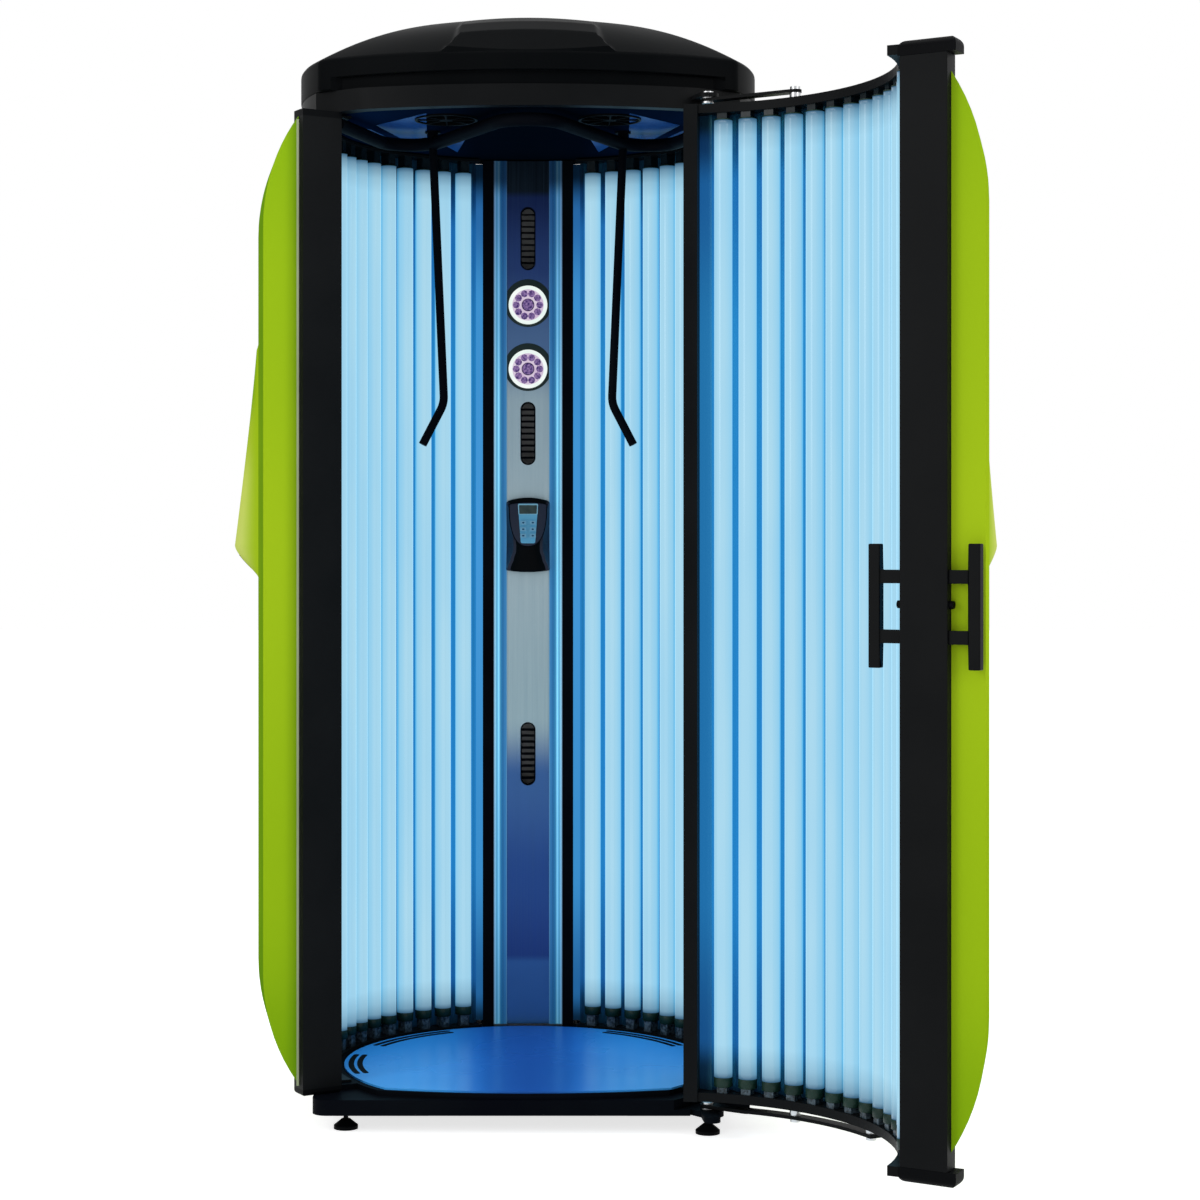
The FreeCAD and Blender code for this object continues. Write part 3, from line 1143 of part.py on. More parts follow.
# ---------------------------------------------------------------- services
plate = block(-PLATE_HALF, PLATE_HALF, PLATE_FRONT, PLATE_FRONT + PLATE_SHEET, BASE_TOP, CANOPY_BOTTOM)
plate_back = PLATE_FRONT + PLATE_SHEET
ballasts = []
for row_index in range(BALLAST_ROWS):
    z = BALLAST_FIRST + row_index * BALLAST_PITCH
    for side in (-1, 1):
        x = side * 60
        ballasts.append(block(x - BALLAST_WIDTH / 2, x + BALLAST_WIDTH / 2, plate_back,
                              plate_back + BALLAST_DEPTH, z, z + BALLAST_HEIGHT))
save("ballast_plate", plate)
save("ballasts", ballasts)
save("power_box", block(-POWER_BOX_HALF, POWER_BOX_HALF, plate_back, plate_back + POWER_BOX_DEPTH,
                        POWER_BOX_BOTTOM, POWER_BOX_BOTTOM + POWER_BOX_HEIGHT))
gland = Part.makeCylinder(GLAND_RADIUS, 40, FreeCAD.Vector(0, COVER_RADIUS - 20, GLAND_HEIGHT),
                          FreeCAD.Vector(0, 1, 0))
flange = Part.makeCylinder(GLAND_FLANGE, 8, FreeCAD.Vector(0, COVER_RADIUS, GLAND_HEIGHT),
                           FreeCAD.Vector(0, 1, 0))
cable_bore = Part.makeCylinder(CABLE_BORE, 60, FreeCAD.Vector(0, COVER_RADIUS - 30, GLAND_HEIGHT),
                               FreeCAD.Vector(0, 1, 0))
save("mains_gland", fused([gland, flange]).cut(cable_bore))

# ---------------------------------------------------------------- export
# The whole booth is moved so that its box stands centred on the origin.
whole = Part.makeCompound([shape for name, shape in NODES.items() if name != "dome"]).optimalBoundingBox()
shift = FreeCAD.Vector(-(whole.XMin + whole.XMax) / 2, -(whole.YMin + whole.YMax) / 2, 0)
for name, shape in NODES.items():
    translated(shape, shift.x, shift.y, shift.z).exportStep("parts/" + name + ".step")
print("shift", round(shift.x, 4), round(shift.y, 4))
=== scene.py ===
import json
import math

import bmesh
import bpy
from mathutils import Matrix, Vector


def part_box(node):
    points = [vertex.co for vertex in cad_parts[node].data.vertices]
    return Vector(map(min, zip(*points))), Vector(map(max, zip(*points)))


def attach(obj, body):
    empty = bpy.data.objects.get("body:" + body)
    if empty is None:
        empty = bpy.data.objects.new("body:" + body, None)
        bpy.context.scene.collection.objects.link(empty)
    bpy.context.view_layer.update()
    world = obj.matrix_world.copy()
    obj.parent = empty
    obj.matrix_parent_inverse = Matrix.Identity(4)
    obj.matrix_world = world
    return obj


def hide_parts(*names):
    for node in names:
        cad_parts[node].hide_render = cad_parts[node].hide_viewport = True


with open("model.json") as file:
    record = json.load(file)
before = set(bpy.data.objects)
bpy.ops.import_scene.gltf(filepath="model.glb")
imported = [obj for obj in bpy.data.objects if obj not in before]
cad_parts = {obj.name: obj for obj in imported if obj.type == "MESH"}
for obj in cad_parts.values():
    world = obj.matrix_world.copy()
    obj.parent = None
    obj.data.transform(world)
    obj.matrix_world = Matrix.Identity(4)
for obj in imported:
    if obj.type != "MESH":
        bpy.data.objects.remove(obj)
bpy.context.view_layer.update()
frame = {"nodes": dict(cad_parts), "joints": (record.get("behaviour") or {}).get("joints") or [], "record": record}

# Vertical tanning booth.  Metres, +Z up.  Azimuths are measured from the front
# (-Y) towards +X about the cabin axis.  Door pieces are made in the closed
# position and swung open about the hinge.

# ---------------------------------------------------------------- where things are
HINGE_JOINT = next(joint for joint in frame["joints"] if joint["name"] == "door_hinge")
HINGE = Vector(HINGE_JOINT["pos_m"])
DOOR_SWING = math.radians(-HINGE_JOINT["range_deg"][0])
AXIS = Vector((HINGE.x - 0.366, HINGE.y + 0.298, 0.0))

LAMP_CIRCLE = 0.433
LAMP_RADIUS = 0.019
LAMP_PITCH = 6.73
LAMP_START = 159.7
LAMPS_PER_SIDE = 14
DOOR_LAMPS = 14
DOOR_LAMP_START = 45.9

nodes = frame["nodes"]
lamp_low, lamp_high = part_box("cabin_lamps")
door_lamp_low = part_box("door_lamps")[0]
lens_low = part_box("face_lamp_lenses")[0]


# ---------------------------------------------------------------- node helpers
WHITE = (1.0, 1.0, 1.0)
# colour sockets of a mix node
MIX_FIRST, MIX_SECOND, MIX_RESULT = 6, 7, 2


def filled(tree, made, inputs):
    """Gives the inputs of a node their numbers, colours or sockets."""
    for label, value in inputs.items():
        target = made.inputs[label]
        if isinstance(value, bpy.types.NodeSocket):
            tree.links.new(value, target)
        elif target.type == "RGBA" and len(value) == 3:
            target.default_value = (*value, 1.0)
        else:
            target.default_value = value
    return made


def added(tree, kind, inputs=None, **settings):
    """New node with its settings and inputs."""
    made = tree.nodes.new(kind)
    for label, value in settings.items():
        setattr(made, label, value)
    return filled(tree, made, inputs or {})


def maths(tree, operation, *values):
    """Math node over sockets and numbers."""
    return added(tree, "ShaderNodeMath", dict(enumerate(values)), operation=operation).outputs["Value"]


def ranged(tree, source, low, high, from_low=0.35, from_high=0.65):
    """Map Range from a noise value to low and high, which are numbers or sockets."""
    return added(tree, "ShaderNodeMapRange", {
        "Value": source, "From Min": from_low, "From Max": from_high, "To Min": low, "To Max": high,
    }).outputs["Result"]


def noise(tree, scale, detail, stretch=None):
    """Noise in object space; stretch is a scale along each axis."""
    place = added(tree, "ShaderNodeTexCoord").outputs["Object"]
    if stretch is not None:
        place = added(tree, "ShaderNodeMapping", {"Vector": place, "Scale": stretch}).outputs["Vector"]
    return added(tree, "ShaderNodeTexNoise", {
        "Vector": place, "Scale": scale, "Detail": detail,
    }).outputs["Fac"]


def mixed(tree, factor, first, second, blend="MIX"):
    """Mix of two colours or colour sockets."""
    return added(tree, "ShaderNodeMix", {0: factor, MIX_FIRST: first, MIX_SECOND: second},
                 data_type="RGBA", blend_type=blend).outputs[MIX_RESULT]


def attribute(tree, name):
    """Value stored on the mesh."""
    return added(tree, "ShaderNodeAttribute", attribute_name=name).outputs["Fac"]


def object_axis(tree, axis):
    """One coordinate in object space."""
    place = added(tree, "ShaderNodeTexCoord").outputs["Object"]
    return added(tree, "ShaderNodeSeparateXYZ", {"Vector": place}).outputs[axis]


def colour_ramp(tree, source, stops, soft=False):
    """Colour by a value from 0 to 1; stops are (value, colour)."""
    made = added(tree, "ShaderNodeValToRGB", {"Fac": source})
    ramp = made.color_ramp
    if soft:
        ramp.interpolation = "EASE"
    while len(ramp.elements) < len(stops):
        ramp.elements.new(0.5)
    for element, (position, colour) in zip(ramp.elements, stops):
        element.position = position
        element.color = (*colour, 1.0)
    return made.outputs["Color"]


def length_ramp(tree, source, stops, soft=False):
    """Colour by a length in metres; stops are (length, colour)."""
    low, high = stops[0][0], stops[-1][0]
    shares = [((at - low) / (high - low), colour) for at, colour in stops]
    return colour_ramp(tree, ranged(tree, source, 0.0, 1.0, low, high), shares, soft)


def height_ramp(tree, stops):
    """Colour by object height."""
    return length_ramp(tree, object_axis(tree, "Z"), stops, True)


def across_axis(tree, stops):
    """Colour by distance to either side of the cabin axis."""
    aside = maths(tree, "SUBTRACT", object_axis(tree, "X"), AXIS.x)
    return length_ramp(tree, maths(tree, "ABSOLUTE", aside), stops)


def skin_group(name, scale, height_of, shade_of):
    """Surface skin: fine relief, a drift of gloss over the surface and a shade between two colours."""
    tree = bpy.data.node_groups.new(name, "ShaderNodeTree")
    for label, value in (scale, ("Gloss", 0.35), ("Gloss Drift", 0.05)):
        made = tree.interface.new_socket(label, in_out="INPUT", socket_type="NodeSocketFloat")
        made.default_value = value
    for label in ("Height", "Roughness", "Shade"):
        tree.interface.new_socket(label, in_out="OUTPUT", socket_type="NodeSocketFloat")
    start = added(tree, "NodeGroupInput")
    gloss = start.outputs["Gloss"]
    height = height_of(tree, start.outputs[0])
    drift, shade = shade_of(tree, height)
    added(tree, "NodeGroupOutput", {
        "Height": height, "Shade": ranged(tree, shade, 0.0, 1.0),
        "Roughness": ranged(tree, drift, gloss, maths(tree, "ADD", gloss, start.outputs["Gloss Drift"])),
    })
    return tree


# orange peel of paint or moulding, and the lines of metal brushed or drawn along Z
COAT_GRAIN = skin_group("coat_grain", ("Grain Scale", 900.0),
                        lambda tree, scale: noise(tree, scale, 2.0),
                        lambda tree, height: (noise(tree, 3.0, 3.0), noise(tree, 6.0, 4.0)))
BRUSHED = skin_group("brushed_lines", ("Line Scale", 1.0),
                     lambda tree, scale: noise(tree, scale, 3.0, (900.0, 900.0, 4.0)),
                     lambda tree, height: (height, height))


def new_material(name):
    material = bpy.data.materials.new(name)
    material.use_nodes = True
    return material, material.node_tree, material.node_tree.nodes["Principled BSDF"]


def glowing(material, surface, colour, strength):
    """Light given off, too weak to be worth sampling as a lamp."""
    filled(material.node_tree, surface, {"Emission Color": colour, "Emission Strength": strength})
    material.cycles.emission_sampling = "NONE"


def finish(name, skin, tone, specular=0.5, metallic=0.0, relief=None, glow=None, strength=1.0):
    """Material with a skin (group, scale, gloss, drift) and a relief (strength, distance).

    tone makes the colour from the tree and the skin, glow the light from the tree and the colour.
    """
    material, tree, surface = new_material(name)
    group, *values = skin
    ground = added(tree, "ShaderNodeGroup", dict(enumerate(values)), node_tree=group)
    colour = tone(tree, ground)
    filled(tree, surface, {
        "Base Color": colour, "Roughness": ground.outputs["Roughness"],
        "Specular IOR Level": specular, "Metallic": metallic,
    })
    if relief is not None:
        bump = added(tree, "ShaderNodeBump", {
            "Strength": relief[0], "Distance": relief[1], "Height": ground.outputs["Height"],
        })
        filled(tree, surface, {"Normal": bump.outputs["Normal"]})
    if glow is not None:
        glowing(material, surface, glow(tree, colour), strength)
    return material


def two_tone(first, second):
    """Tone between two close colours by the skin's shade."""
    return lambda tree, skin: mixed(tree, skin.outputs["Shade"], first, second)


def speckled(ground, share, other):
    """Tone of a ground colour with a share of another where the skin's shade is high."""
    return lambda tree, skin: mixed(
        tree, ranged(tree, skin.outputs["Shade"], 0.0, share, 0.0, 1.0), ground(tree), other)


def coated(name, colour, second, gloss, drift, scale, grain, specular=0.5, metallic=0.0):
    """Painted or moulded finish: two close colours, orange peel and drifting gloss."""
    return finish(name, (COAT_GRAIN, scale, gloss, drift), two_tone(colour, second), specular,
                  metallic, (grain, 0.0004))


def lit_finish(name, colour, second, strength, scale=40.0):
    """Softly lit lens or window."""
    material, tree, surface = new_material(name)
    fade = ranged(tree, noise(tree, scale, 2.0), 0.0, 1.0)
    filled(tree, surface, {
        "Base Color": mixed(tree, fade, (0.02, 0.02, 0.03), (0.04, 0.04, 0.05)),
        "Roughness": 0.25, "Specular IOR Level": 0.06,
    })
    glowing(material, surface, mixed(tree, fade, colour, second), strength)
    return material


# ---------------------------------------------------------------- finishes
BLACK_SATIN = coated("black_powder_coat", (0.0035, 0.004, 0.0045), (0.0055, 0.006, 0.0065),
                     0.40, 0.08, 1400.0, 0.12, specular=0.05)
BLACK_GLOSS = coated("black_dome_moulding", (0.0025, 0.003, 0.0035), (0.0035, 0.004, 0.0045),
                     0.38, 0.06, 500.0, 0.04, specular=0.010)
BLACK_PLASTIC = coated("black_grained_plastic", (0.0018, 0.002, 0.0026), (0.003, 0.0034, 0.004),
                       0.42, 0.08, 2500.0, 0.2, specular=0.03)
TRIM_BLACK = coated("black_trim_extrusion", (0.0015, 0.002, 0.004), (0.003, 0.004, 0.006),
                    0.5, 0.1, 1800.0, 0.1, specular=0.015)
CAP_GREEN = coated("lamp_end_green", (0.004, 0.018, 0.012), (0.008, 0.03, 0.02),
                   0.35, 0.1, 2500.0, 0.1, specular=0.2)
POD_SLATE = coated("pod_slate_moulding", (0.010, 0.014, 0.030), (0.016, 0.021, 0.042),
                   0.4, 0.08, 2500.0, 0.2, specular=0.2)
LENS_DARK = coated("lens_backing", (0.010, 0.022, 0.020), (0.020, 0.035, 0.032),
                   0.4, 0.1, 2500.0, 0.1, specular=0.2)
PAD_BLUE = coated("keypad_blue", (0.16, 0.47, 0.66), (0.21, 0.53, 0.72),
                  0.4, 0.1, 2500.0, 0.1, specular=0.1)
# pale strip that paints the highlight along the left cover's edge
EDGE_PAINTED_HIGHLIGHT = coated("cover_edge", (0.40, 0.47, 0.26), (0.46, 0.53, 0.32),
                   0.4, 0.1, 900.0, 0.1, specular=0.1)
FRAME_PALE = coated("window_frame", (0.32, 0.58, 0.68), (0.38, 0.64, 0.74),
                    0.4, 0.1, 2500.0, 0.1, specular=0.1)
MARK_BLUE = coated("key_mark", (0.012, 0.07, 0.14), (0.02, 0.09, 0.18),
                   0.4, 0.1, 2500.0, 0.1, specular=0.1)
KEY_GREY = coated("key_pad", (0.20, 0.45, 0.60), (0.26, 0.50, 0.64),
                  0.45, 0.1, 3000.0, 0.2, specular=0.3)
ZINC = coated("zinc_plate", (0.42, 0.43, 0.44), (0.55, 0.56, 0.57),
              0.24, 0.1, 1200.0, 0.1, metallic=1.0)
GREY_PAINT = coated("grey_enamel", (0.30, 0.31, 0.32), (0.36, 0.37, 0.38), 0.4, 0.1, 900.0, 0.2)
FACET_BLUE = coated("ceiling_facet", (0.010, 0.055, 0.21), (0.022, 0.10, 0.33),
                    0.22, 0.06, 30.0, 0.02, specular=0.05)
ANODISED = finish("anodised_rail", (BRUSHED, 1.0, 0.28, 0.08),
                  two_tone((0.16, 0.36, 0.55), (0.22, 0.44, 0.62)), metallic=1.0,
                  relief=(0.15, 0.0002))

# heights, or distances from the cabin axis, in metres with the colour there
# painted lamp light glowing on the reflector sheet, with painted shade at its ends
MIRROR_PAINTED_LAMPLIGHT = (
        (0.09, (0.001, 0.004, 0.010)), (0.135, (0.002, 0.012, 0.035)), (0.20, (0.008, 0.075, 0.24)),
        (0.50, (0.014, 0.155, 0.40)), (1.60, (0.016, 0.165, 0.40)), (1.92, (0.010, 0.10, 0.30)),
        (2.01, (0.003, 0.025, 0.09)), (2.05, (0.001, 0.004, 0.010)),
)
# painted highlights: bright lines where the rail's ribs catch the lamps, dark between them
RAIL_PAINTED_HIGHLIGHTS = (
        (0.0488, (0.14, 0.32, 0.46)), (0.0520, (0.050, 0.22, 0.45)), (0.0600, (0.034, 0.20, 0.40)),
        (0.0636, (0.045, 0.24, 0.44)), (0.0658, (0.17, 0.50, 0.66)), (0.0676, (0.42, 0.86, 0.98)),
        (0.0697, (0.26, 0.66, 0.88)), (0.0720, (0.13, 0.44, 0.64)), (0.0742, (0.17, 0.50, 0.68)),
        (0.0765, (0.42, 0.74, 0.94)), (0.0785, (0.20, 0.34, 0.44)), (0.0800, (0.02, 0.05, 0.09)),
)
# painted shade: the rail brightest in its middle and darker towards its foot and top
RAIL_PAINTED_SHADE = (
        (0.085, (0.45, 0.55, 0.62)), (0.40, (0.72, 0.80, 0.86)), (0.80, (0.95, 0.95, 0.96)),
        (1.50, (0.95, 0.95, 0.96)), (1.75, (0.66, 0.72, 0.82)), (2.00, (0.42, 0.46, 0.60)),
        (2.05, (0.10, 0.12, 0.16)),
)
CEILING_BANDS = (
        (0.0, (0.0015, 0.004, 0.008)), (0.12, (0.0015, 0.004, 0.009)), (0.22, (0.002, 0.008, 0.024)),
        (0.34, (0.003, 0.014, 0.045)), (0.46, (0.002, 0.006, 0.016)),
)
# painted shade: the lime brightest at mid height and darker towards its foot and its top
LIME_PAINTED_SHADE = (
        (0.05, (0.22, 0.42, 0.006)), (0.5, (0.34, 0.54, 0.010)),
        (1.2, (0.41, 0.60, 0.014)), (1.7, (0.36, 0.56, 0.012)), (2.1, (0.29, 0.50, 0.010)),
)
# painted highlight on the scoop's nose above its mouth and painted shade towards its top
SCOOP_PAINTED_LIGHT = (
        (1.12, (0.42, 0.58, 0.05)), (1.19, (0.66, 0.77, 0.17)), (1.32, (0.64, 0.76, 0.14)),
        (1.44, (0.46, 0.63, 0.04)), (1.54, (0.24, 0.46, 0.015)), (1.636, (0.20, 0.42, 0.012)),
)
# the cover's lime at the scoop's heights, with the same painted shade as the cover
COVER_UPRIGHT = ((1.12, (0.40, 0.59, 0.014)), (1.636, (0.37, 0.57, 0.012)))
# painted lamp light and a painted reflection on the column sheet, dark at its ends
COLUMN_PAINTED_LIGHT = (
        (0.085, (0.035, 0.14, 0.36)), (0.225, (0.022, 0.09, 0.27)), (0.245, (0.008, 0.035, 0.17)),
        (0.42, (0.010, 0.045, 0.19)), (0.66, (0.03, 0.09, 0.25)), (0.80, (0.26, 0.36, 0.40)),
        (1.20, (0.31, 0.40, 0.44)), (1.52, (0.27, 0.36, 0.41)), (1.66, (0.06, 0.12, 0.25)),
        (1.85, (0.012, 0.035, 0.14)), (2.005, (0.007, 0.022, 0.11)), (2.02, (0.002, 0.008, 0.018)),
)
# blue of the floor with painted lamp light, brighter away from the axis towards the lamps
FLOOR_BLUE_AND_LAMPLIGHT = (
        (0.0, (0.020, 0.120, 0.48)), (0.05, (0.022, 0.135, 0.52)), (0.11, (0.034, 0.225, 0.72)),
        (0.17, (0.052, 0.36, 0.90)), (0.24, (0.060, 0.41, 0.97)), (0.42, (0.060, 0.41, 0.97)),
)
# painted lamp light and glints on the holders at the foot, painted shade above
HOLDER_PAINTED_LIGHT = (
        (0.08, (0.02, 0.03, 0.045)), (0.10, (0.10, 0.14, 0.17)), (0.16, (0.08, 0.115, 0.145)),
        (1.0, (0.004, 0.009, 0.012)), (2.1, (0.002, 0.006, 0.008)),
)
# painted lamp light glowing on the return strips, with painted shade at their ends
RETURN_PAINTED_LAMPLIGHT = (
    (0.09, (0.002, 0.012, 0.03)), (0.16, (0.016, 0.12, 0.32)), (0.45, (0.040, 0.26, 0.58)),
    (1.20, (0.055, 0.30, 0.66)), (1.75, (0.045, 0.27, 0.60)), (1.97, (0.020, 0.13, 0.36)),
    (2.06, (0.001, 0.006, 0.016)),
)
# painted shade behind the front lip, where the cover turns away from the light, and brightness round a tube, from
# 0 to 1
LIP_PAINTED_SHADE = ((0.0, 0.0), (0.045, 0.0), (0.075, 0.75), (0.55, 0.6), (1.0, 0.0))
TUBE_LIGHT = (
    (0.0, (0.03, 0.26, 0.58)), (0.40, (0.12, 0.50, 0.82)),
    (0.62, (0.32, 0.66, 0.88)), (1.0, (0.42, 0.72, 0.88)),
)


def lime_with_painted_shade(tree):
    """Lime with painted shade, deeper towards the foot and the top and where it turns away behind its front lip.
    """
    behind = ranged(tree, object_axis(tree, "Y"), 0.0, 1.0, -0.06, 0.34)
    deep = colour_ramp(tree, behind, [(at, (share,) * 3) for at, share in LIP_PAINTED_SHADE])
    return mixed(tree, deep, height_ramp(tree, LIME_PAINTED_SHADE), (0.07, 0.24, 0.008))


def scoop_with_painted_light(tree):
    """Green with a painted yellow-green highlight towards the mouth along the scoop's ridge and painted shade
    towards its top.
    """
    return mixed(tree, attribute(tree, "ridge"), height_ramp(tree, COVER_UPRIGHT),
                 height_ramp(tree, SCOOP_PAINTED_LIGHT))


def holder_tone(tree, skin):
    """Lamp holder moulding: glossy, pale at the foot with painted lamp light and glints, dark towards the top with
    painted shade.
    """
    worn = ranged(tree, skin.outputs["Height"], 0.0, 1.0)
    return mixed(tree, worn, height_ramp(tree, HOLDER_PAINTED_LIGHT), (0.006, 0.012, 0.016))


def tube_light(tree, colour):
    """Brightest on the window that faces the cabin, dark rings at the ends."""
    face = colour_ramp(tree, attribute(tree, "window"), TUBE_LIGHT, True)
    clouds = ranged(tree, noise(tree, 2.0, 2.0, (6.0, 6.0, 1.0)), 0.0, 0.3)
    mottled = mixed(tree, clouds, face, (0.24, 0.60, 0.88))
    return mixed(tree, attribute(tree, "end_fade"), mottled, (0.01, 0.06, 0.14))


# polished reflector sheet with the lamps' light painted on as a glow, and painted shade at its ends
MIRROR_SHEET = finish("lamp_mirror", (BRUSHED, 0.4, 0.3, 0.04),
                      two_tone((0.05, 0.19, 0.24), (0.055, 0.21, 0.27)), metallic=1.0,
                      relief=(0.02, 0.0001), glow=lambda tree, colour: height_ramp(tree, MIRROR_PAINTED_LAMPLIGHT))
# anodised rail with painted highlights of the lamps along its ribs, painted shade towards its ends and a painted
# glow of lamp light
RAIL_METAL = finish("banded_rail", (BRUSHED, 1.0, 0.35, 0.08),
                    lambda tree, skin: mixed(tree, 1.0, across_axis(tree, RAIL_PAINTED_HIGHLIGHTS),
                                             height_ramp(tree, RAIL_PAINTED_SHADE), "MULTIPLY"),
                    specular=0.1, relief=(0.08, 0.0002), glow=lambda tree, colour: colour,
                    strength=0.42)
# dark polished sheet, bluer towards its sides
CEILING_SHEET = finish("dark_ceiling", (COAT_GRAIN, 500.0, 0.24, 0.06),
                       speckled(lambda tree: across_axis(tree, CEILING_BANDS), 0.3,
                                (0.001, 0.003, 0.008)), specular=0.0, relief=(0.04, 0.0002))
SCOOP_LIME = finish("scoop_moulding", (COAT_GRAIN, 260.0, 0.34, 0.05),
                    speckled(scoop_with_painted_light, 0.1, (0.34, 0.56, 0.01)), specular=0.0,
                    relief=(0.04, 0.0004))
SOCKET_BLACK = finish("lampholder_moulding", (COAT_GRAIN, 140.0, 0.28, 0.1), holder_tone,
                      specular=0.25, relief=(0.1, 0.0003))
LIME = finish("lime_moulding", (COAT_GRAIN, 260.0, 0.28, 0.05),
              speckled(lime_with_painted_shade, 0.12, (0.34, 0.56, 0.01)), specular=0.0, relief=(0.04, 0.0004))
TUBE = finish("lit_tube", (COAT_GRAIN, 600.0, 0.18, 0.05), lambda tree, skin: (0.01, 0.02, 0.03),
              specular=0.3, glow=tube_light, strength=0.92)
# brushed sheet with painted light: blue painted lamp light above and below, and a bright painted reflection in its
# middle
COLUMN = finish("column_sheet", (BRUSHED, 1.0, 0.3, 0.12),
                speckled(lambda tree: height_ramp(tree, COLUMN_PAINTED_LIGHT), 0.06, (0.10, 0.2, 0.3)),
                metallic=0.85, relief=(0.12, 0.0002))
# blue acrylic floor; its brightening towards the lamps is painted lamp light
FLOOR_BLUE = finish("blue_floor", (COAT_GRAIN, 700.0, 0.22, 0.08),
                    speckled(lambda tree: across_axis(tree, FLOOR_BLUE_AND_LAMPLIGHT), 0.10, (0.018, 0.14, 0.52)),
                    specular=0.05, relief=(0.04, 0.0003))
# return strip whose glow is painted lamp light
RETURN_GLOW = finish("lit_return", (BRUSHED, 1.0, 0.35, 0.1),
                     two_tone((0.004, 0.02, 0.04), (0.008, 0.03, 0.06)), specular=0.05,
                     glow=lambda tree, colour: height_ramp(tree, RETURN_PAINTED_LAMPLIGHT))
LENS_GLOW = lit_finish("lit_lens", (0.80, 0.62, 0.84), (0.90, 0.78, 0.92), 0.75)
PETAL_GLOW = lit_finish("lit_petal", (0.05, 0.012, 0.19), (0.50, 0.30, 0.68), 0.55, 190.0)
HALO_DARK = lit_finish("lit_halo", (0.04, 0.01, 0.10), (0.08, 0.02, 0.18), 0.3, 190.0)
RING_GLOW = lit_finish("lit_ring", (0.84, 0.96, 0.90), (0.95, 1.0, 0.97), 0.95)
LCD = lit_finish("display_window", (0.012, 0.03, 0.022), (0.022, 0.045, 0.032), 0.6)

SLOT_FINISH = {
    "black_satin": BLACK_SATIN, "black_plastic": BLACK_PLASTIC, "black_gloss": BLACK_GLOSS,
    "lime_green": LIME, "lamp_glass": TUBE, "socket": SOCKET_BLACK, "reflector": MIRROR_SHEET,
    "alu": ANODISED, "panel_alu": COLUMN, "floor_blue": FLOOR_BLUE, "lens": LENS_GLOW,
    "lens_ring": RING_GLOW, "display": LCD, "key_grey": KEY_GREY, "zinc": ZINC,
    "grey_paint": GREY_PAINT,
}


# ---------------------------------------------------------------- geometry node trees
def geometry_tree(name, inputs):
    """Empty Geometry Nodes tree with a geometry in and out and the named inputs."""
    tree = bpy.data.node_groups.new(name, "GeometryNodeTree")
    tree.interface.new_socket("Geometry", in_out="INPUT", socket_type="NodeSocketGeometry")
    for label, kind in inputs:
        tree.interface.new_socket(label, in_out="INPUT", socket_type="NodeSocket" + kind)
    tree.interface.new_socket("Geometry", in_out="OUTPUT", socket_type="NodeSocketGeometry")
    return tree, tree.nodes.new("NodeGroupInput"), tree.nodes.new("NodeGroupOutput")


def set_inputs(modifier, values):
    """Modifier inputs by their socket identifiers."""
    for item in modifier.node_group.interface.items_tree:
        if item.in_out == "INPUT" and item.name in values:
            modifier[item.identifier] = values[item.name]


def joined(tree, *row):
    """Passes the geometry through a row of nodes."""
    for first, second in zip(row, row[1:]):
        tree.links.new(first.outputs[0], second.inputs[0])


def even_shading_tree():
    """Merges a faceted mesh and shades it smooth except over sharp edges."""
    tree, start, end = geometry_tree("even_shading", [("Sharp Angle", "Float")])
    merge = added(tree, "GeometryNodeMergeByDistance", {"Distance": 0.00002})
    faces = added(tree, "GeometryNodeSetShadeSmooth", domain="FACE")
    angle = added(tree, "GeometryNodeInputMeshEdgeAngle").outputs["Unsigned Angle"]
    less = added(tree, "FunctionNodeCompare", {"A": angle, "B": start.outputs["Sharp Angle"]},
                 data_type="FLOAT", operation="LESS_THAN")
    edges = added(tree, "GeometryNodeSetShadeSmooth", {"Shade Smooth": less.outputs["Result"]},
                  domain="EDGE")
    joined(tree, start, merge, faces, edges, end)
    return tree


def round_row_tree():
    """Copies of the input mesh on an arc about the cabin axis, each turned to face it."""
    tree, start, end = geometry_tree("round_row", [
        ("Count", "Int"), ("First", "Float"), ("Step", "Float"), ("Material", "Material"),
    ])
    given = start.outputs
    points = added(tree, "GeometryNodePoints", {"Count": given["Count"]})
    index = added(tree, "GeometryNodeInputIndex").outputs["Index"]
    along = maths(tree, "MULTIPLY_ADD", index, given["Step"], given["First"])
    turn = added(tree, "ShaderNodeCombineXYZ", {"Z": along}).outputs["Vector"]
    copies = added(tree, "GeometryNodeInstanceOnPoints", {
        "Instance": given["Geometry"], "Rotation": turn,
    })
    real = added(tree, "GeometryNodeRealizeInstances")
    paint = added(tree, "GeometryNodeSetMaterial", {"Material": given["Material"]})
    joined(tree, points, copies, real, paint, end)
    return tree


EVEN_SHADING = even_shading_tree()
ROUND_ROW = round_row_tree()


def grown(mesh, tree, values):
    """The mesh that a tree makes from the given mesh, as a plain mesh."""
    carrier = bpy.data.objects.new("carrier", mesh)
    bpy.context.scene.collection.objects.link(carrier)
    modifier = carrier.modifiers.new("grow", "NODES")
    modifier.node_group = tree
    set_inputs(modifier, values)
    shown = bpy.context.evaluated_depsgraph_get()
    result = bpy.data.meshes.new_from_object(carrier.evaluated_get(shown))
    bpy.data.objects.remove(carrier)
    return result


# ---------------------------------------------------------------- mesh helpers
def empty_mesh(name):
    return bpy.data.meshes.new(name), bmesh.new()


def written(mesh, work):
    """Writes the bmesh out as it is."""
    work.to_mesh(mesh)
    work.free()
    return mesh


def closed(mesh, work, smooth=True):
    """Writes the bmesh out with outward faces."""
    bmesh.ops.remove_doubles(work, verts=work.verts, dist=0.00001)
    bmesh.ops.recalc_face_normals(work, faces=work.faces)
    for face in work.faces:
        face.smooth = smooth
    return written(mesh, work)


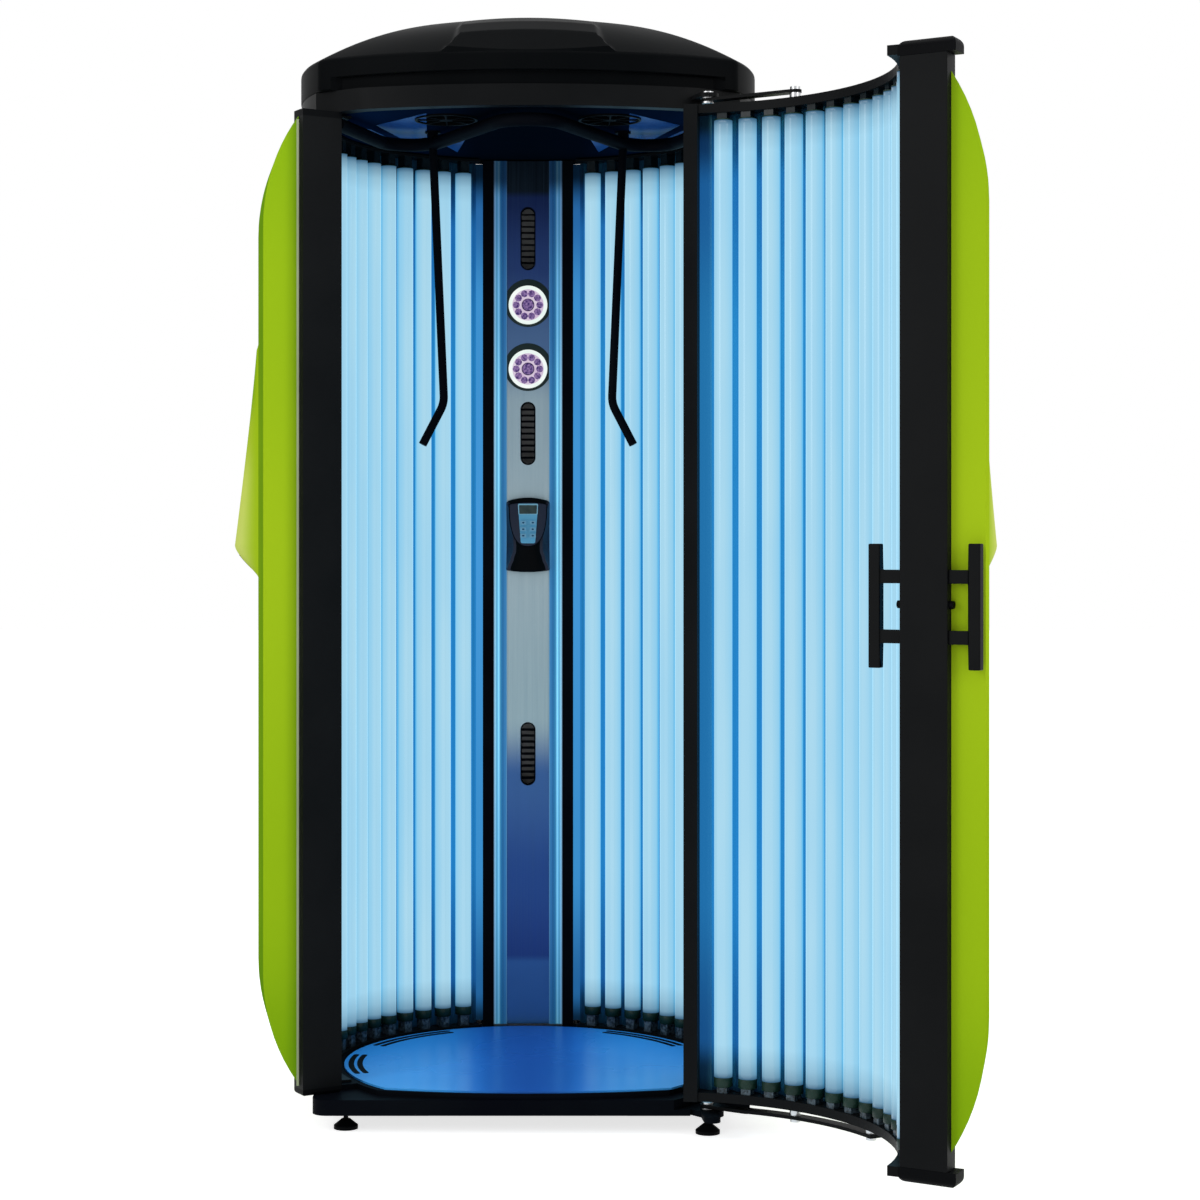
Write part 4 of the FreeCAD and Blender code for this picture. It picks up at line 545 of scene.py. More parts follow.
def walls(work, rings):
    """Faces between closed rings of equal length."""
    for low, high in zip(rings, rings[1:]):
        for index in range(len(low)):
            after = (index + 1) % len(low)
            work.faces.new([low[index], low[after], high[after], high[index]])


def capped(work, rings):
    """Walls and both end faces."""
    walls(work, rings)
    work.faces.new(list(reversed(rings[0])))
    work.faces.new(rings[-1])


def crease_edges(mesh, angle):
    """Marks edges sharper than the angle, in degrees, as sharp."""
    work = bmesh.new()
    work.from_mesh(mesh)
    for edge in work.edges:
        if len(edge.link_faces) == 2 and edge.calc_face_angle(0.0) > math.radians(angle):
            edge.smooth = False
    return written(mesh, work)


def gathered(name, parts):
    """One mesh from (mesh, place) rows, with its shading kept."""
    mesh, work = empty_mesh(name)
    for part, place in parts:
        part = part.copy()
        part.transform(Matrix.Translation(place))
        work.from_mesh(part)
    return written(mesh, work)


def loft(name, rings, smooth=True):
    """Closed shape through rings of equal length, capped at both ends."""
    mesh, work = empty_mesh(name)
    capped(work, [[work.verts.new(point) for point in ring] for ring in rings])
    return closed(mesh, work, smooth)


def eased(share):
    """0 to 1 with a soft start and end."""
    share = max(0.0, min(1.0, share))
    return share * share * (3 - 2 * share)


def lathe(name, profile, steps, smooth=True):
    """Turned shape about Z from (radius, height) points; radius 0 closes it to a pole."""
    mesh, work = empty_mesh(name)
    rings = []
    for radius, height in profile:
        if radius < 1e-6:
            rings.append([work.verts.new((0, 0, height))])
            continue
        ring = []
        for step in range(steps):
            angle = 2 * math.pi * step / steps
            ring.append(work.verts.new((radius * math.cos(angle), radius * math.sin(angle), height)))
        rings.append(ring)
    for low, high in zip(rings, rings[1:]):
        for step in range(steps):
            after = (step + 1) % steps
            corners = [low[step % len(low)], low[after % len(low)],
                       high[after % len(high)], high[step % len(high)]]
            unique = list(dict.fromkeys(corners))
            if len(unique) > 2:
                work.faces.new(unique)
    return closed(mesh, work, smooth)


def rounded_block(name, size, centre, bevel, segments=2):
    """Box with rounded edges."""
    mesh, work = empty_mesh(name)
    bmesh.ops.create_cube(work, size=1.0)
    bmesh.ops.scale(work, vec=size, verts=work.verts)
    bmesh.ops.translate(work, vec=centre, verts=work.verts)
    bmesh.ops.bevel(work, geom=work.edges[:], offset=bevel, segments=segments, profile=0.6,
                    affect="EDGES")
    return closed(mesh, work)


def swung(mesh):
    """Takes a mesh made with the door closed to the open position."""
    about = Matrix.Translation(HINGE) @ Matrix.Rotation(DOOR_SWING, 4, "Z") @ Matrix.Translation(-HINGE)
    mesh.transform(about)
    return mesh


def centred(mesh):
    """Takes a mesh made about the origin to the cabin axis."""
    mesh.transform(Matrix.Translation(AXIS))
    return mesh


def piece(name, mesh, material, body, replaced=()):
    """Shown piece that rides on a body and may stand for CAD nodes."""
    made = bpy.data.objects.new(name, mesh)
    bpy.context.scene.collection.objects.link(made)
    if not mesh.materials:
        mesh.materials.append(material)
    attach(made, body)
    if replaced:
        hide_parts(*replaced)
    return made


# ---------------------------------------------------------------- CAD nodes keep their shape
SLOTS = {}
for row in frame["record"]["materials"]:
    for part in row.get("nodes", row.get("subparts", [])):
        SLOTS[part] = row["slot"]


NODE_FINISH = {
    "ceiling_panel": CEILING_SHEET, "column_rails": RAIL_METAL, "column_trims": TRIM_BLACK,
    # base_frame takes the darker trim black as painted shade, the base sitting in shadow
    "base_frame": TRIM_BLACK, "air_nozzles": TRIM_BLACK, "grab_bar": TRIM_BLACK,
    "hanging_grips": TRIM_BLACK, "floor_tray": TRIM_BLACK, "fan_grilles": BLACK_PLASTIC,
    "door_latch_knobs": BLACK_PLASTIC,
}
SOFT_EDGES = {
    "door_handles": 0.0022, "door_pillar_caps": 0.0020, "base_frame": 0.0012, "door_pillar": 0.0010,
}
SHARP_ANGLE = math.radians(28)
SOFT_ANGLE = math.radians(50)


def dress_nodes():
    """Every CAD node gets its finish and even shading."""
    for name, node in nodes.items():
        finish = NODE_FINISH.get(name) or SLOT_FINISH[node_slot(name)]
        for place in node.material_slots:
            place.material = finish
        if not node.material_slots:
            raise RuntimeError(name + " has no material slot")
        modifier = node.modifiers.new("even_shading", "NODES")
        modifier.node_group = EVEN_SHADING
        set_inputs(modifier, {"Sharp Angle": SHARP_ANGLE})
        if name in SOFT_EDGES:
            bevel = node.modifiers.new("soft_edges", "BEVEL")
            bevel.width = SOFT_EDGES[name]
            bevel.segments = 2
            bevel.limit_method = "ANGLE"
            bevel.angle_limit = SOFT_ANGLE
            bevel.harden_normals = True
        node.modifiers.new("weighted_normals", "WEIGHTED_NORMAL").keep_sharp = True


def node_slot(name):
    """The material slot that the record gives this node."""
    if name in SLOTS:
        return SLOTS[name]
    held = nodes[name].material_slots[0].material.name
    return next(key for key in sorted(SLOT_FINISH, key=len, reverse=True) if key in held)


dress_nodes()


# ---------------------------------------------------------------- lamps
FOOT_CAP = 0.0195
TOP_CAP = 0.0030
TUBE_STEPS = 28
TUBE_RADIUS = LAMP_RADIUS - 0.0006
END_DARK = 0.034
# distance from the tube's end in lengths of END_DARK, darkness at the foot and at the top
END_FADE = ((0.0, 0.9, 0.9), (0.3, 0.55, 0.6), (1.0, 0.25, 0.22), (2.0, 0.0, 0.0))


def tube_mesh(length):
    """Glass of one lamp on the lamp circle in front of the axis, its window towards the axis."""
    rows = [(FOOT_CAP + away * END_DARK, dark) for away, dark, _ in END_FADE]
    rows.append((length / 2, 0.0))
    rows += [(length - TOP_CAP - away * END_DARK, dark) for away, _, dark in reversed(END_FADE)]
    mesh, work = empty_mesh("tube")
    window = work.verts.layers.float.new("window")
    fade = work.verts.layers.float.new("end_fade")
    rings = []
    for height, dark in rows:
        ring = []
        for step in range(TUBE_STEPS):
            angle = 2 * math.pi * step / TUBE_STEPS
            vert = work.verts.new((TUBE_RADIUS * math.cos(angle),
                                   TUBE_RADIUS * math.sin(angle) - LAMP_CIRCLE, height))
            vert[window] = 0.5 + 0.5 * math.sin(angle)
            vert[fade] = dark
            ring.append(vert)
        rings.append(ring)
    capped(work, rings)
    return closed(mesh, work)


def cap_mesh(length):
    """End collars of one lamp, taller at the foot."""
    mesh, work = empty_mesh("caps")
    for flip, tall in ((False, FOOT_CAP), (True, TOP_CAP)):
        part = lathe("cap", [(0.0, 0.0), (0.0172, 0.0), (LAMP_RADIUS, 0.0012),
                             (LAMP_RADIUS, tall - 0.0008), (0.0184, tall), (0.0, tall)], TUBE_STEPS)
        if flip:
            part.transform(Matrix.Rotation(math.pi, 4, "X"))
        part.transform(Matrix.Translation((0, -LAMP_CIRCLE, length if flip else 0.0)))
        work.from_mesh(part)
        bpy.data.meshes.remove(part)
    return closed(mesh, work)


def lamp_bank(name, body, bottom, count, first, step, is_door=False, replaced=()):
    """Tubes and caps of one bank."""
    length = lamp_high.z - lamp_low.z
    for kind, source, finish, slot_name in (
        ("tubes", tube_mesh(length), TUBE, "lamp_glass"),
        ("caps", cap_mesh(length), CAP_GREEN, "socket"),
    ):
        mesh = grown(source, ROUND_ROW, {
            "Count": count, "First": math.radians(first), "Step": math.radians(step),
            "Material": finish,
        })
        mesh.transform(Matrix.Translation((0, 0, bottom)))
        centred(mesh)
        if is_door:
            swung(mesh)
        piece(name + "_" + kind, mesh, finish, body, replaced if kind == "tubes" else ())


lamp_bank("left_lamp", "cabin", lamp_low.z, LAMPS_PER_SIDE, -LAMP_START, LAMP_PITCH,
          replaced=("cabin_lamps",))
lamp_bank("right_lamp", "cabin", lamp_low.z, LAMPS_PER_SIDE, LAMP_START, -LAMP_PITCH)
lamp_bank("door_lamp", "door", door_lamp_low.z, DOOR_LAMPS, DOOR_LAMP_START, -LAMP_PITCH,
          is_door=True, replaced=("door_lamps",))


# ---------------------------------------------------------------- lid
def between(table, at):
    """Value at a place in a table of (place, value) rows, eased between rows."""
    if at <= table[0][0]:
        return table[0][1]
    for (start, first), (end, second) in zip(table, table[1:]):
        if at <= end:
            return first + (second - first) * eased((at - start) / (end - start))
    return table[-1][1]


LID_R = 0.487
LID_CORNER = 62.2
LID_NOSE = 0.336
LID_FOOT = 2.134
LID_BAND = 2.197
LID_RISE = 0.120
LID_POWER = 2.4
LID_NECK = 2.160
PANEL_BOW = 0.008
PANEL_REAR = -0.10
PANEL_BLEND = 0.022
PANEL_OUTSIDE = 0.010
UNDERCUT_HALF = 0.400
UNDERCUT_FRONT = -0.200
LID_STEPS = 360
LID_ROWS = 84
# rows of (distance in front of the axis, height) and of (distance in front, half width)
PANEL_PROFILE = ((0.336, 2.197), (0.292, 2.249), (0.24, 2.277), (0.18, 2.296), (0.12, 2.309),
                 (0.06, 2.319))
PANEL_PLAN = ((0.336, 0.188), (0.292, 0.150), (0.06, 0.128))
# rings of the rim from the foot: inset and height, and the same inside the undercut
LID_RIM = (
    ((0.004, LID_FOOT), (0.020, LID_FOOT)),
    ((0.0004, LID_FOOT + 0.0030), (0.018, LID_FOOT + 0.0010)),
    ((0.0, LID_FOOT + 0.0060), (0.018, LID_NECK - 0.0010)),
    ((0.0, LID_FOOT + 0.0200), (0.017, LID_NECK)),
    ((0.0, LID_NECK + 0.0005), (0.0025, LID_NECK)),
    ((0.0, LID_NECK + 0.0020), (0.0003, LID_NECK + 0.0012)),
    ((0.0, LID_NECK + 0.0040), None),
    ((0.0, LID_BAND - 0.0060), None),
    ((0.0006, LID_BAND - 0.0020), None),
    ((0.0020, LID_BAND), None),
)


def front_arc():
    """Centre and radius of the flatter front arc of the lid's plan."""
    turn = math.radians(LID_CORNER)
    corner = Vector((LID_R * math.sin(turn), -LID_R * math.cos(turn)))
    sag = LID_NOSE + corner.y
    radius = (corner.x ** 2 + sag ** 2) / (2 * sag)
    return -LID_NOSE + radius, radius


FRONT_CENTRE, FRONT_RADIUS = front_arc()


def lid_reach(azimuth):
    """Distance from the axis to the lid's rim at an azimuth."""
    turn = abs((azimuth + 180) % 360 - 180)
    if turn > LID_CORNER:
        return LID_R
    angle = math.radians(turn)
    along = Vector((math.sin(angle), -math.cos(angle)))
    middle = Vector((0.0, FRONT_CENTRE))
    half = along.dot(middle)
    return half + math.sqrt(half * half - middle.length_squared + FRONT_RADIUS ** 2)


def along_table(table, front):
    """Value at a distance in front of the axis, straight between the table's rows."""
    for (far, outer), (near, inner) in zip(table, table[1:]):
        if near <= front <= far:
            return inner + (outer - inner) * (front - near) / (far - near)
    return table[0][1] if front > table[0][0] else table[-1][1]


def lid_height(x, y, share):
    """Top of the lid: crown and the raised panel, whichever is higher."""
    crown = LID_BAND + LID_RISE * (1 - share ** LID_POWER)
    front = -y
    if front < PANEL_REAR:
        return crown
    half = along_table(PANEL_PLAN, front)
    level = along_table(PANEL_PROFILE, front) - PANEL_BOW * min(1.0, abs(x) / half) ** 2
    if level <= crown:
        return crown
    return crown + (level - crown) * eased((half + PANEL_OUTSIDE - abs(x)) / PANEL_BLEND)


def lid():
    """Moulded lid with a rolled rim, a raised front panel and an undercut below its front."""
    mesh, work = empty_mesh("lid")
    turns = [360 * (step + 0.5) / LID_STEPS for step in range(LID_STEPS)]

    def spot(azimuth, reach):
        angle = math.radians(azimuth)
        return reach * math.sin(angle), -reach * math.cos(angle)

    rings = []
    for rim, undercut in LID_RIM:
        ring = []
        for azimuth in turns:
            x, y = spot(azimuth, lid_reach(azimuth))
            cut = undercut is not None and abs(x) < UNDERCUT_HALF and y < UNDERCUT_FRONT
            inset, level = undercut if cut else rim
            ring.append(work.verts.new((*spot(azimuth, lid_reach(azimuth) - inset), level)))
        rings.append(ring)
    for index in range(LID_ROWS):
        share = 0.992 * (1 - index / LID_ROWS)
        ring = []
        for azimuth in turns:
            x, y = spot(azimuth, lid_reach(azimuth) * share)
            ring.append(work.verts.new((x, y, lid_height(x, y, share))))
        rings.append(ring)
    walls(work, rings)
    tip = work.verts.new((0, 0, LID_BAND + LID_RISE))
    foot = work.verts.new((0, 0, LID_FOOT))
    for step in range(LID_STEPS):
        after = (step + 1) % LID_STEPS
        work.faces.new([rings[-1][step], rings[-1][after], tip])
        work.faces.new([rings[0][after], rings[0][step], foot])
    return centred(crease_edges(closed(mesh, work), 28))


# ---------------------------------------------------------------- control pod
POD_LOW, POD_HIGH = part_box("pod_housing")
POD_TALL = POD_HIGH.z - POD_LOW.z
# rows of (height above the pod's foot, half width or depth)
POD_WIDTHS = (
    (0.0, 0.0500), (0.004, 0.0508), (0.012, 0.0485), (0.030, 0.0420), (0.050, 0.0362),
    (0.062, 0.0350), (0.080, 0.0365), (0.105, 0.0410), (0.130, 0.0446), (0.150, 0.0470),
    (0.160, 0.0495), (0.166, 0.0508), (0.172, 0.0460),
)
POD_DEPTHS = ((0.0, 0.040), (0.004, 0.043), (0.050, 0.041), (0.070, 0.042), (0.085, 0.0455),
              (0.160, 0.0455), (0.168, 0.044), (0.172, 0.039))
REAR_WIDTHS = ((0.0, 0.0505), (0.070, 0.0498), (0.090, 0.0498), (0.160, 0.0505))
POD_STEPS = 44
POD_ROWS = 36
FLANK_ROWS = 30
SHIELD_HIGH = 0.1605
SHIELD_LOW = 0.0605
SHIELD_HALF = 0.0425
SHIELD_CROWN = 0.005
PAD_FACE = POD_HIGH.y - 0.0478
# corners about the pod's foot
PAD_CORNERS = ((-0.0165, 0.0665), (0.0165, 0.0665), (0.0215, 0.1325), (0.0235, 0.1580),
               (-0.0235, 0.1580), (-0.0215, 0.1325))
WINDOW_CORNERS = ((-0.0200, 0.1345), (0.0200, 0.1345), (0.0208, 0.1545), (-0.0208, 0.1545))
FRAME_CORNERS = ((-0.0222, 0.1330), (0.0222, 0.1330), (0.0232, 0.1572), (-0.0232, 0.1572))
KEY_COUNT = 6
MARK_SHARE = 0.20


def on_pod(mesh, angle):
    """Takes a mesh made about the pod's foot to the column."""
    mesh.transform(Matrix.Translation((AXIS.x, POD_HIGH.y, POD_LOW.z)))
    return crease_edges(mesh, angle)


def pod_housing():
    """Waisted housing with rounded shoulders and a flared foot."""
    levels = [0.0, 0.0015, 0.004]
    levels += [0.004 + (POD_TALL - 0.010) * index / POD_ROWS for index in range(1, POD_ROWS + 1)]
    levels += [POD_TALL - 0.003, POD_TALL - 0.0012, POD_TALL]
    rings = []
    for level in levels:
        half, deep = between(POD_WIDTHS, level), between(POD_DEPTHS, level)
        ring = []
        for step in range(POD_STEPS + 1):
            angle = math.pi * step / POD_STEPS
            across, out = math.cos(angle), math.sin(angle)
            x = half * math.copysign(abs(across) ** 0.62, across)
            edge = (x / half) ** 2
            rise = -0.007 * edge * max(0.0, (level - 0.150) / (POD_TALL - 0.150))
            rise += 0.004 * edge * max(0.0, 1 - level / 0.020)
            ring.append((x, -deep * out ** 0.5, level + rise))
        rings.append(ring)
    return on_pod(loft("pod", rings), 40)


def pod_flanks():
    """Wider rear shell whose hollow flanks close towards the front."""
    rings = []
    for index in range(FLANK_ROWS + 1):
        level = 0.004 + (POD_TALL - 0.010) * index / FLANK_ROWS
        rear = between(REAR_WIDTHS, level)
        front = between(POD_WIDTHS, level) - 0.002
        z = level - 0.005 * max(0.0, (level - 0.145) / (POD_TALL - 0.151))
        rings.append([(-rear, 0.0, z), (-rear, -0.008, z), (-front, -0.036, z),
                      (front, -0.036, z), (rear, -0.008, z), (rear, 0.0, z)])
    return on_pod(loft("flanks", rings), 30)


def plate(outline, front, thick, bevel=0.0):
    """Upright plate from an outline of (x, z), its face at y = front."""
    mesh, work = empty_mesh("plate")
    face = work.faces.new([work.verts.new((x, front, z)) for x, z in outline])
    made = bmesh.ops.extrude_face_region(work, geom=[face])
    moved = [item for item in made["geom"] if isinstance(item, bmesh.types.BMVert)]
    bmesh.ops.translate(work, vec=(0, thick, 0), verts=moved)
    rim = [edge for edge in work.edges
           if all(abs(vert.co.y - front) < 1e-7 for vert in edge.verts)]
    if bevel:
        bmesh.ops.bevel(work, geom=rim, offset=bevel, segments=2, profile=0.6, affect="EDGES")
    return crease_edges(closed(mesh, work), 35)


def pod_plate(outline, proud, thick, bevel):
    """Plate on the pod's face from an outline about the pod's foot."""
    return plate([(AXIS.x + x, POD_LOW.z + z) for x, z in outline], PAD_FACE - proud, thick, bevel)


def shield_outline(grow=0.0):
    """U-shaped outline: nearly straight top, sides that close to a round foot."""
    top, low, half = SHIELD_HIGH + grow, SHIELD_LOW - grow, SHIELD_HALF + grow
    points = []
    for step in range(13):
        x = half - 2 * half * step / 12
        points.append((x, top - SHIELD_CROWN * (x / half) ** 2))
    shoulder = top - SHIELD_CROWN
    for step in range(1, 36):
        angle = math.pi * step / 36
        across = -math.cos(angle)
        points.append((half * math.copysign(abs(across) ** 0.8, across),
                       shoulder - (shoulder - low) * math.sin(angle) ** 0.8))
    return points


def rounded_outline(rows, radius, steps=5):
    """Outline through the corners (x, z), each rounded."""
    points = []
    for index, corner in enumerate(rows):
        here = Vector(corner)
        before = (Vector(rows[index - 1]) - here).normalized()
        after = (Vector(rows[(index + 1) % len(rows)]) - here).normalized()
        start, end = here + before * radius, here + after * radius
        for step in range(steps + 1):
            share = step / steps
            points.append(tuple(start * (1 - share) ** 2 + here * (2 * share * (1 - share))
                                + end * share ** 2))
    return points


def key_mark(low, high):
    """Small oval mark on a key's face."""
    middle = (low + high) / 2
    tall, wide = (high.z - low.z) * MARK_SHARE, (high.x - low.x) * MARK_SHARE
    turns = [math.radians(turn) for turn in range(0, 360, 18)]
    return plate([(middle.x + wide * math.cos(turn), middle.z + tall * math.sin(turn))
                  for turn in turns], low.y - 0.0003, 0.0008)


def control_pod():
    """Housing, shield, keypad and display of the pod; the keys stay CAD pieces."""
    for name, mesh, finish, slot_name, replaced in (
        ("pod_shell", pod_housing(), BLACK_PLASTIC, "black_plastic", ("pod_housing",)),
        ("pod_flanks", pod_flanks(), POD_SLATE, "black_plastic", ()),
        ("pod_shield_rim", pod_plate(shield_outline(0.0022), -0.0006, 0.010, 0.0006),
         TRIM_BLACK, "black_plastic", ()),
        ("pod_shield", pod_plate(shield_outline(), 0.0, 0.010, 0.0012),
         POD_SLATE, "black_plastic", ()),
        ("pod_keypad", pod_plate(rounded_outline(PAD_CORNERS, 0.004), 0.0006, 0.004, 0.0003),
         PAD_BLUE, "display", ()),
        ("pod_window", pod_plate(rounded_outline(WINDOW_CORNERS, 0.0015), 0.0009, 0.002, 0.0002),
         LCD, "display", ("pod_display",)),
        ("pod_window_frame",
         pod_plate(rounded_outline(FRAME_CORNERS, 0.0030), 0.0007, 0.003, 0.0002),
         FRAME_PALE, "display", ()),
    ):
        piece(name, mesh, finish, "cabin", replaced)
    for index in range(1, KEY_COUNT + 1):
        key = "key_%d" % index
        piece("key_mark_%d" % index, key_mark(*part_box(key)), MARK_BLUE, key)


# ---------------------------------------------------------------- facial lamps
LENS_ROUND = 0.0450
GEM_ROUND = 0.0084
GEM_COUNT = 10
GEM_CIRCLE = 0.0272
BACKING_ROUND = 0.0555
BACKING_HALF = 0.0487
BACKING_STEPS = 72
BACKING_RAISE = 0.0045
FACE_HEIGHTS = (1.7556, 1.6068)


def upright_turned(profile, steps, sharp=None, smooth=True):
    """Turned shape whose axis points at the user, foot on the column face."""
    mesh = lathe("turned", profile, steps, smooth)
    mesh.transform(Matrix.Rotation(math.radians(90), 4, "X"))
    return mesh if sharp is None else crease_edges(mesh, sharp)


def lamp_backing(centre):
    """Dark plate behind a facial lamp, round with flattened sides."""
    outline = []
    for step in range(BACKING_STEPS):
        angle = 2 * math.pi * step / BACKING_STEPS
        x = max(-BACKING_HALF, min(BACKING_HALF, BACKING_ROUND * math.cos(angle)))
        outline.append((centre.x + x, centre.z + BACKING_RAISE + BACKING_ROUND * math.sin(angle)))
    return plate(outline, centre.y - 0.0016, 0.0012, 0.0003)


def facial_lamps():
    """Two clear lamps on the column: dark backing, white ring, bright lens and cut gems."""
    ring = upright_turned([(0.0365, 0.0014), (LENS_ROUND, 0.0014), (LENS_ROUND, 0.0034),
                           (0.0435, 0.0044), (0.0380, 0.0044), (0.0365, 0.0036),
                           (0.0365, 0.0014)], 72, 40)
    lens = upright_turned([(0, 0.0014), (0.0366, 0.0014), (0.0366, 0.0026), (0, 0.0032)], 64, 40)
    gem = upright_turned([(0, 0.0), (GEM_ROUND, 0.0), (GEM_ROUND, 0.0012), (0.0048, 0.0030),
                          (0.0, 0.0034)], 8, smooth=False)
    heart = upright_turned([(0, 0.0), (0.0130, 0.0), (0.0130, 0.0014), (0.0098, 0.0030),
                            (0.0, 0.0034)], 14, smooth=False)
    halo = upright_turned([(0, 0.0), (0.0148, 0.0), (0.0148, 0.0008), (0, 0.0010)], 40, 40)
    centres = [Vector((AXIS.x, lens_low.y, height)) for height in FACE_HEIGHTS]
    gems = []
    for centre in centres:
        for index in range(GEM_COUNT):
            angle = math.radians(90 + 360 * (index + 0.5) / GEM_COUNT)
            gems.append((gem, centre + Vector((GEM_CIRCLE * math.cos(angle), -0.0022,
                                               GEM_CIRCLE * math.sin(angle)))))
        gems.append((heart, centre + Vector((0, -0.0030, 0))))
    for name, rows, finish, slot_name, replaced in (
        ("backing", [(lamp_backing(centre), Vector()) for centre in centres],
         LENS_DARK, "black_plastic", ()),
        ("rings", [(ring, centre) for centre in centres],
         RING_GLOW, "lens_ring", ("face_lamp_rings",)),
        ("glass", [(lens, centre) for centre in centres],
         LENS_GLOW, "lens", ("face_lamp_lenses",)),
        ("gems", gems, PETAL_GLOW, "lens", ()),
        ("halos", [(halo, centre + Vector((0, -0.0028, 0))) for centre in centres],
         HALO_DARK, "lens", ()),
    ):
        piece("facial_lamp_" + name, gathered(name, rows), finish, "cabin", replaced)


piece("lid", lid(), BLACK_GLOSS, "cabin", ("dome",))
control_pod()
facial_lamps()


# ---------------------------------------------------------------- scoops and curved sheets
COVER_R = 0.578
SCOOP_LOW = 1.121
SCOOP_NOSE = 1.196
SCOOP_HIGH = 1.636
SCOOP_SPREAD = 17.0
SCOOP_ROWS = 60
SCOOP_COLUMNS = 40
SCOOP_TOP_ROUND = 0.016
# degrees and metres over which a scoop's painted light runs into the cover's colour
RIDGE_SIDE = 6.0
RIDGE_TOP = 0.07
RIDGE_FOOT = 0.02
# azimuth, stand-off of the nose and of the top
CABIN_SCOOPS = ((-105.0, 0.083, 0.018), (105.0, 0.083, 0.018))
DOOR_SCOOPS = ((-10.0, 0.062, 0.001),)
FLAT = (0.0, 0.0)
MOUTH_STARTS = (-8.0, -3.9, 0.2, 4.3)
MOUTH_WIDE = 3.6
MOUTH_LOW = 1.128
MOUTH_HIGH = 1.176


def scoop_proud(level, turn, nose, head):
    """How far a scoop stands off the cover at a height and an angle from its middle."""
    if level <= SCOOP_LOW or level >= SCOOP_HIGH:
        return 0.0
    if level < SCOOP_NOSE:
        rise = nose * (1 - ((SCOOP_NOSE - level) / (SCOOP_NOSE - SCOOP_LOW)) ** 1.5)
    else:
        rise = nose + (head - nose) * (level - SCOOP_NOSE) / (SCOOP_HIGH - SCOOP_NOSE)
        rise *= min(1.0, (SCOOP_HIGH - level) / SCOOP_TOP_ROUND) ** 0.5
    return rise * max(0.0, 1 - (turn / SCOOP_SPREAD) ** 2) ** 0.9


def ridge_share(level, turn):
    """1 along the ridge of a scoop and 0 where it runs into the cover."""
    return eased(min((SCOOP_SPREAD - abs(turn)) / RIDGE_SIDE, (SCOOP_HIGH - level) / RIDGE_TOP,
                     (level - SCOOP_LOW) / RIDGE_FOOT))


def curved_skin(middle, stand, heights, turns, outer, inner, rows, columns):
    """Closed curved sheet about the origin between two radii; stand is a scoop's (nose, head)."""
    mesh, work = empty_mesh("skin")
    ridge = work.verts.layers.float.new("ridge")
    low, high = heights
    left, right = turns
    levels = [low + (high - low) * index / rows for index in range(rows + 1)]
    if low < SCOOP_NOSE < high:
        levels = sorted(set(levels + [SCOOP_NOSE, SCOOP_HIGH - 0.004, SCOOP_HIGH - 0.001]))
    grid = []
    for level in levels:
        row = []
        for index in range(columns + 1):
            turn = left + (right - left) * index / columns
            azimuth = math.radians(middle + turn)
            pair = []
            for reach in (outer + scoop_proud(level, turn, *stand), inner):
                vert = work.verts.new((reach * math.sin(azimuth), -reach * math.cos(azimuth), level))
                vert[ridge] = ridge_share(level, turn)
                pair.append(vert)
            row.append(pair)
        grid.append(row)
    for below, above in zip(grid, grid[1:]):
        for index in range(columns):
            for side in (0, 1):
                work.faces.new([below[index][side], below[index + 1][side],
                                above[index + 1][side], above[index][side]])
        for index in (0, columns):
            work.faces.new([*below[index], *reversed(above[index])])
    for row in (grid[0], grid[-1]):
        for here, after in zip(row, row[1:]):
            work.faces.new([*here, *reversed(after)])
    return crease_edges(closed(mesh, work), 38)


def scoops():
    """Air scoops on the covers with a barred mouth on their lower slope."""
    for body, is_door, replaced, places in (
        ("cabin", False, ("air_scoops",), CABIN_SCOOPS),
        ("door", True, ("door_scoop",), DOOR_SCOOPS),
    ):
        shells, mouths = [], []
        for middle, *stand in places:
            shell = curved_skin(middle, stand, (SCOOP_LOW, SCOOP_HIGH),
                                (-SCOOP_SPREAD, SCOOP_SPREAD), COVER_R + 0.0002,
                                COVER_R - 0.0015, SCOOP_ROWS, SCOOP_COLUMNS)
            shells.append((shell, Vector()))
            for start in MOUTH_STARTS:
                mouth = curved_skin(middle, stand, (MOUTH_LOW, MOUTH_HIGH),
                                    (start, start + MOUTH_WIDE), COVER_R + 0.0008,
                                    COVER_R - 0.0015, 8, 6)
                mouths.append((mouth, Vector()))
        for name, rows, finish, slot_name, stands in (
            ("scoops", shells, SCOOP_LIME, "lime_green", replaced),
            ("scoop_mouths", mouths, TRIM_BLACK, "black_plastic", ()),
        ):
            mesh = centred(gathered(name, rows))
            if is_door:
                swung(mesh)
            piece(body + "_" + name, mesh, finish, body, stands)


# ---------------------------------------------------------------- closures behind the covers
NOTCH_WIDE = 0.318
CLOSURE_SHEET = 0.0012
LOUVRE_HEIGHTS = (1.488, 1.828)
# azimuth of the middle and degrees to either side of it
LOUVRE_SPAN = (180.0, (-12.6, 12.6))
BACK_SHEET_SPAN = (41.2, (-12.0, 11.35))
SEAL_SPAN = (59.4, (-2.3, 2.5))
EDGE_SIZE = (0.0050, 0.0020)
EDGE_PLACE = (-0.6025, -0.0345, 0.0)
EDGE_TURN = 18


def thin_sheet(span, heights, outer, inner, columns):
    """Curved sheet about the cabin axis; outer and inner are depths behind the cover's face."""
    middle, turns = span
    return centred(curved_skin(middle, FLAT, heights, turns, COVER_R - outer, COVER_R - inner,
                               2, columns))


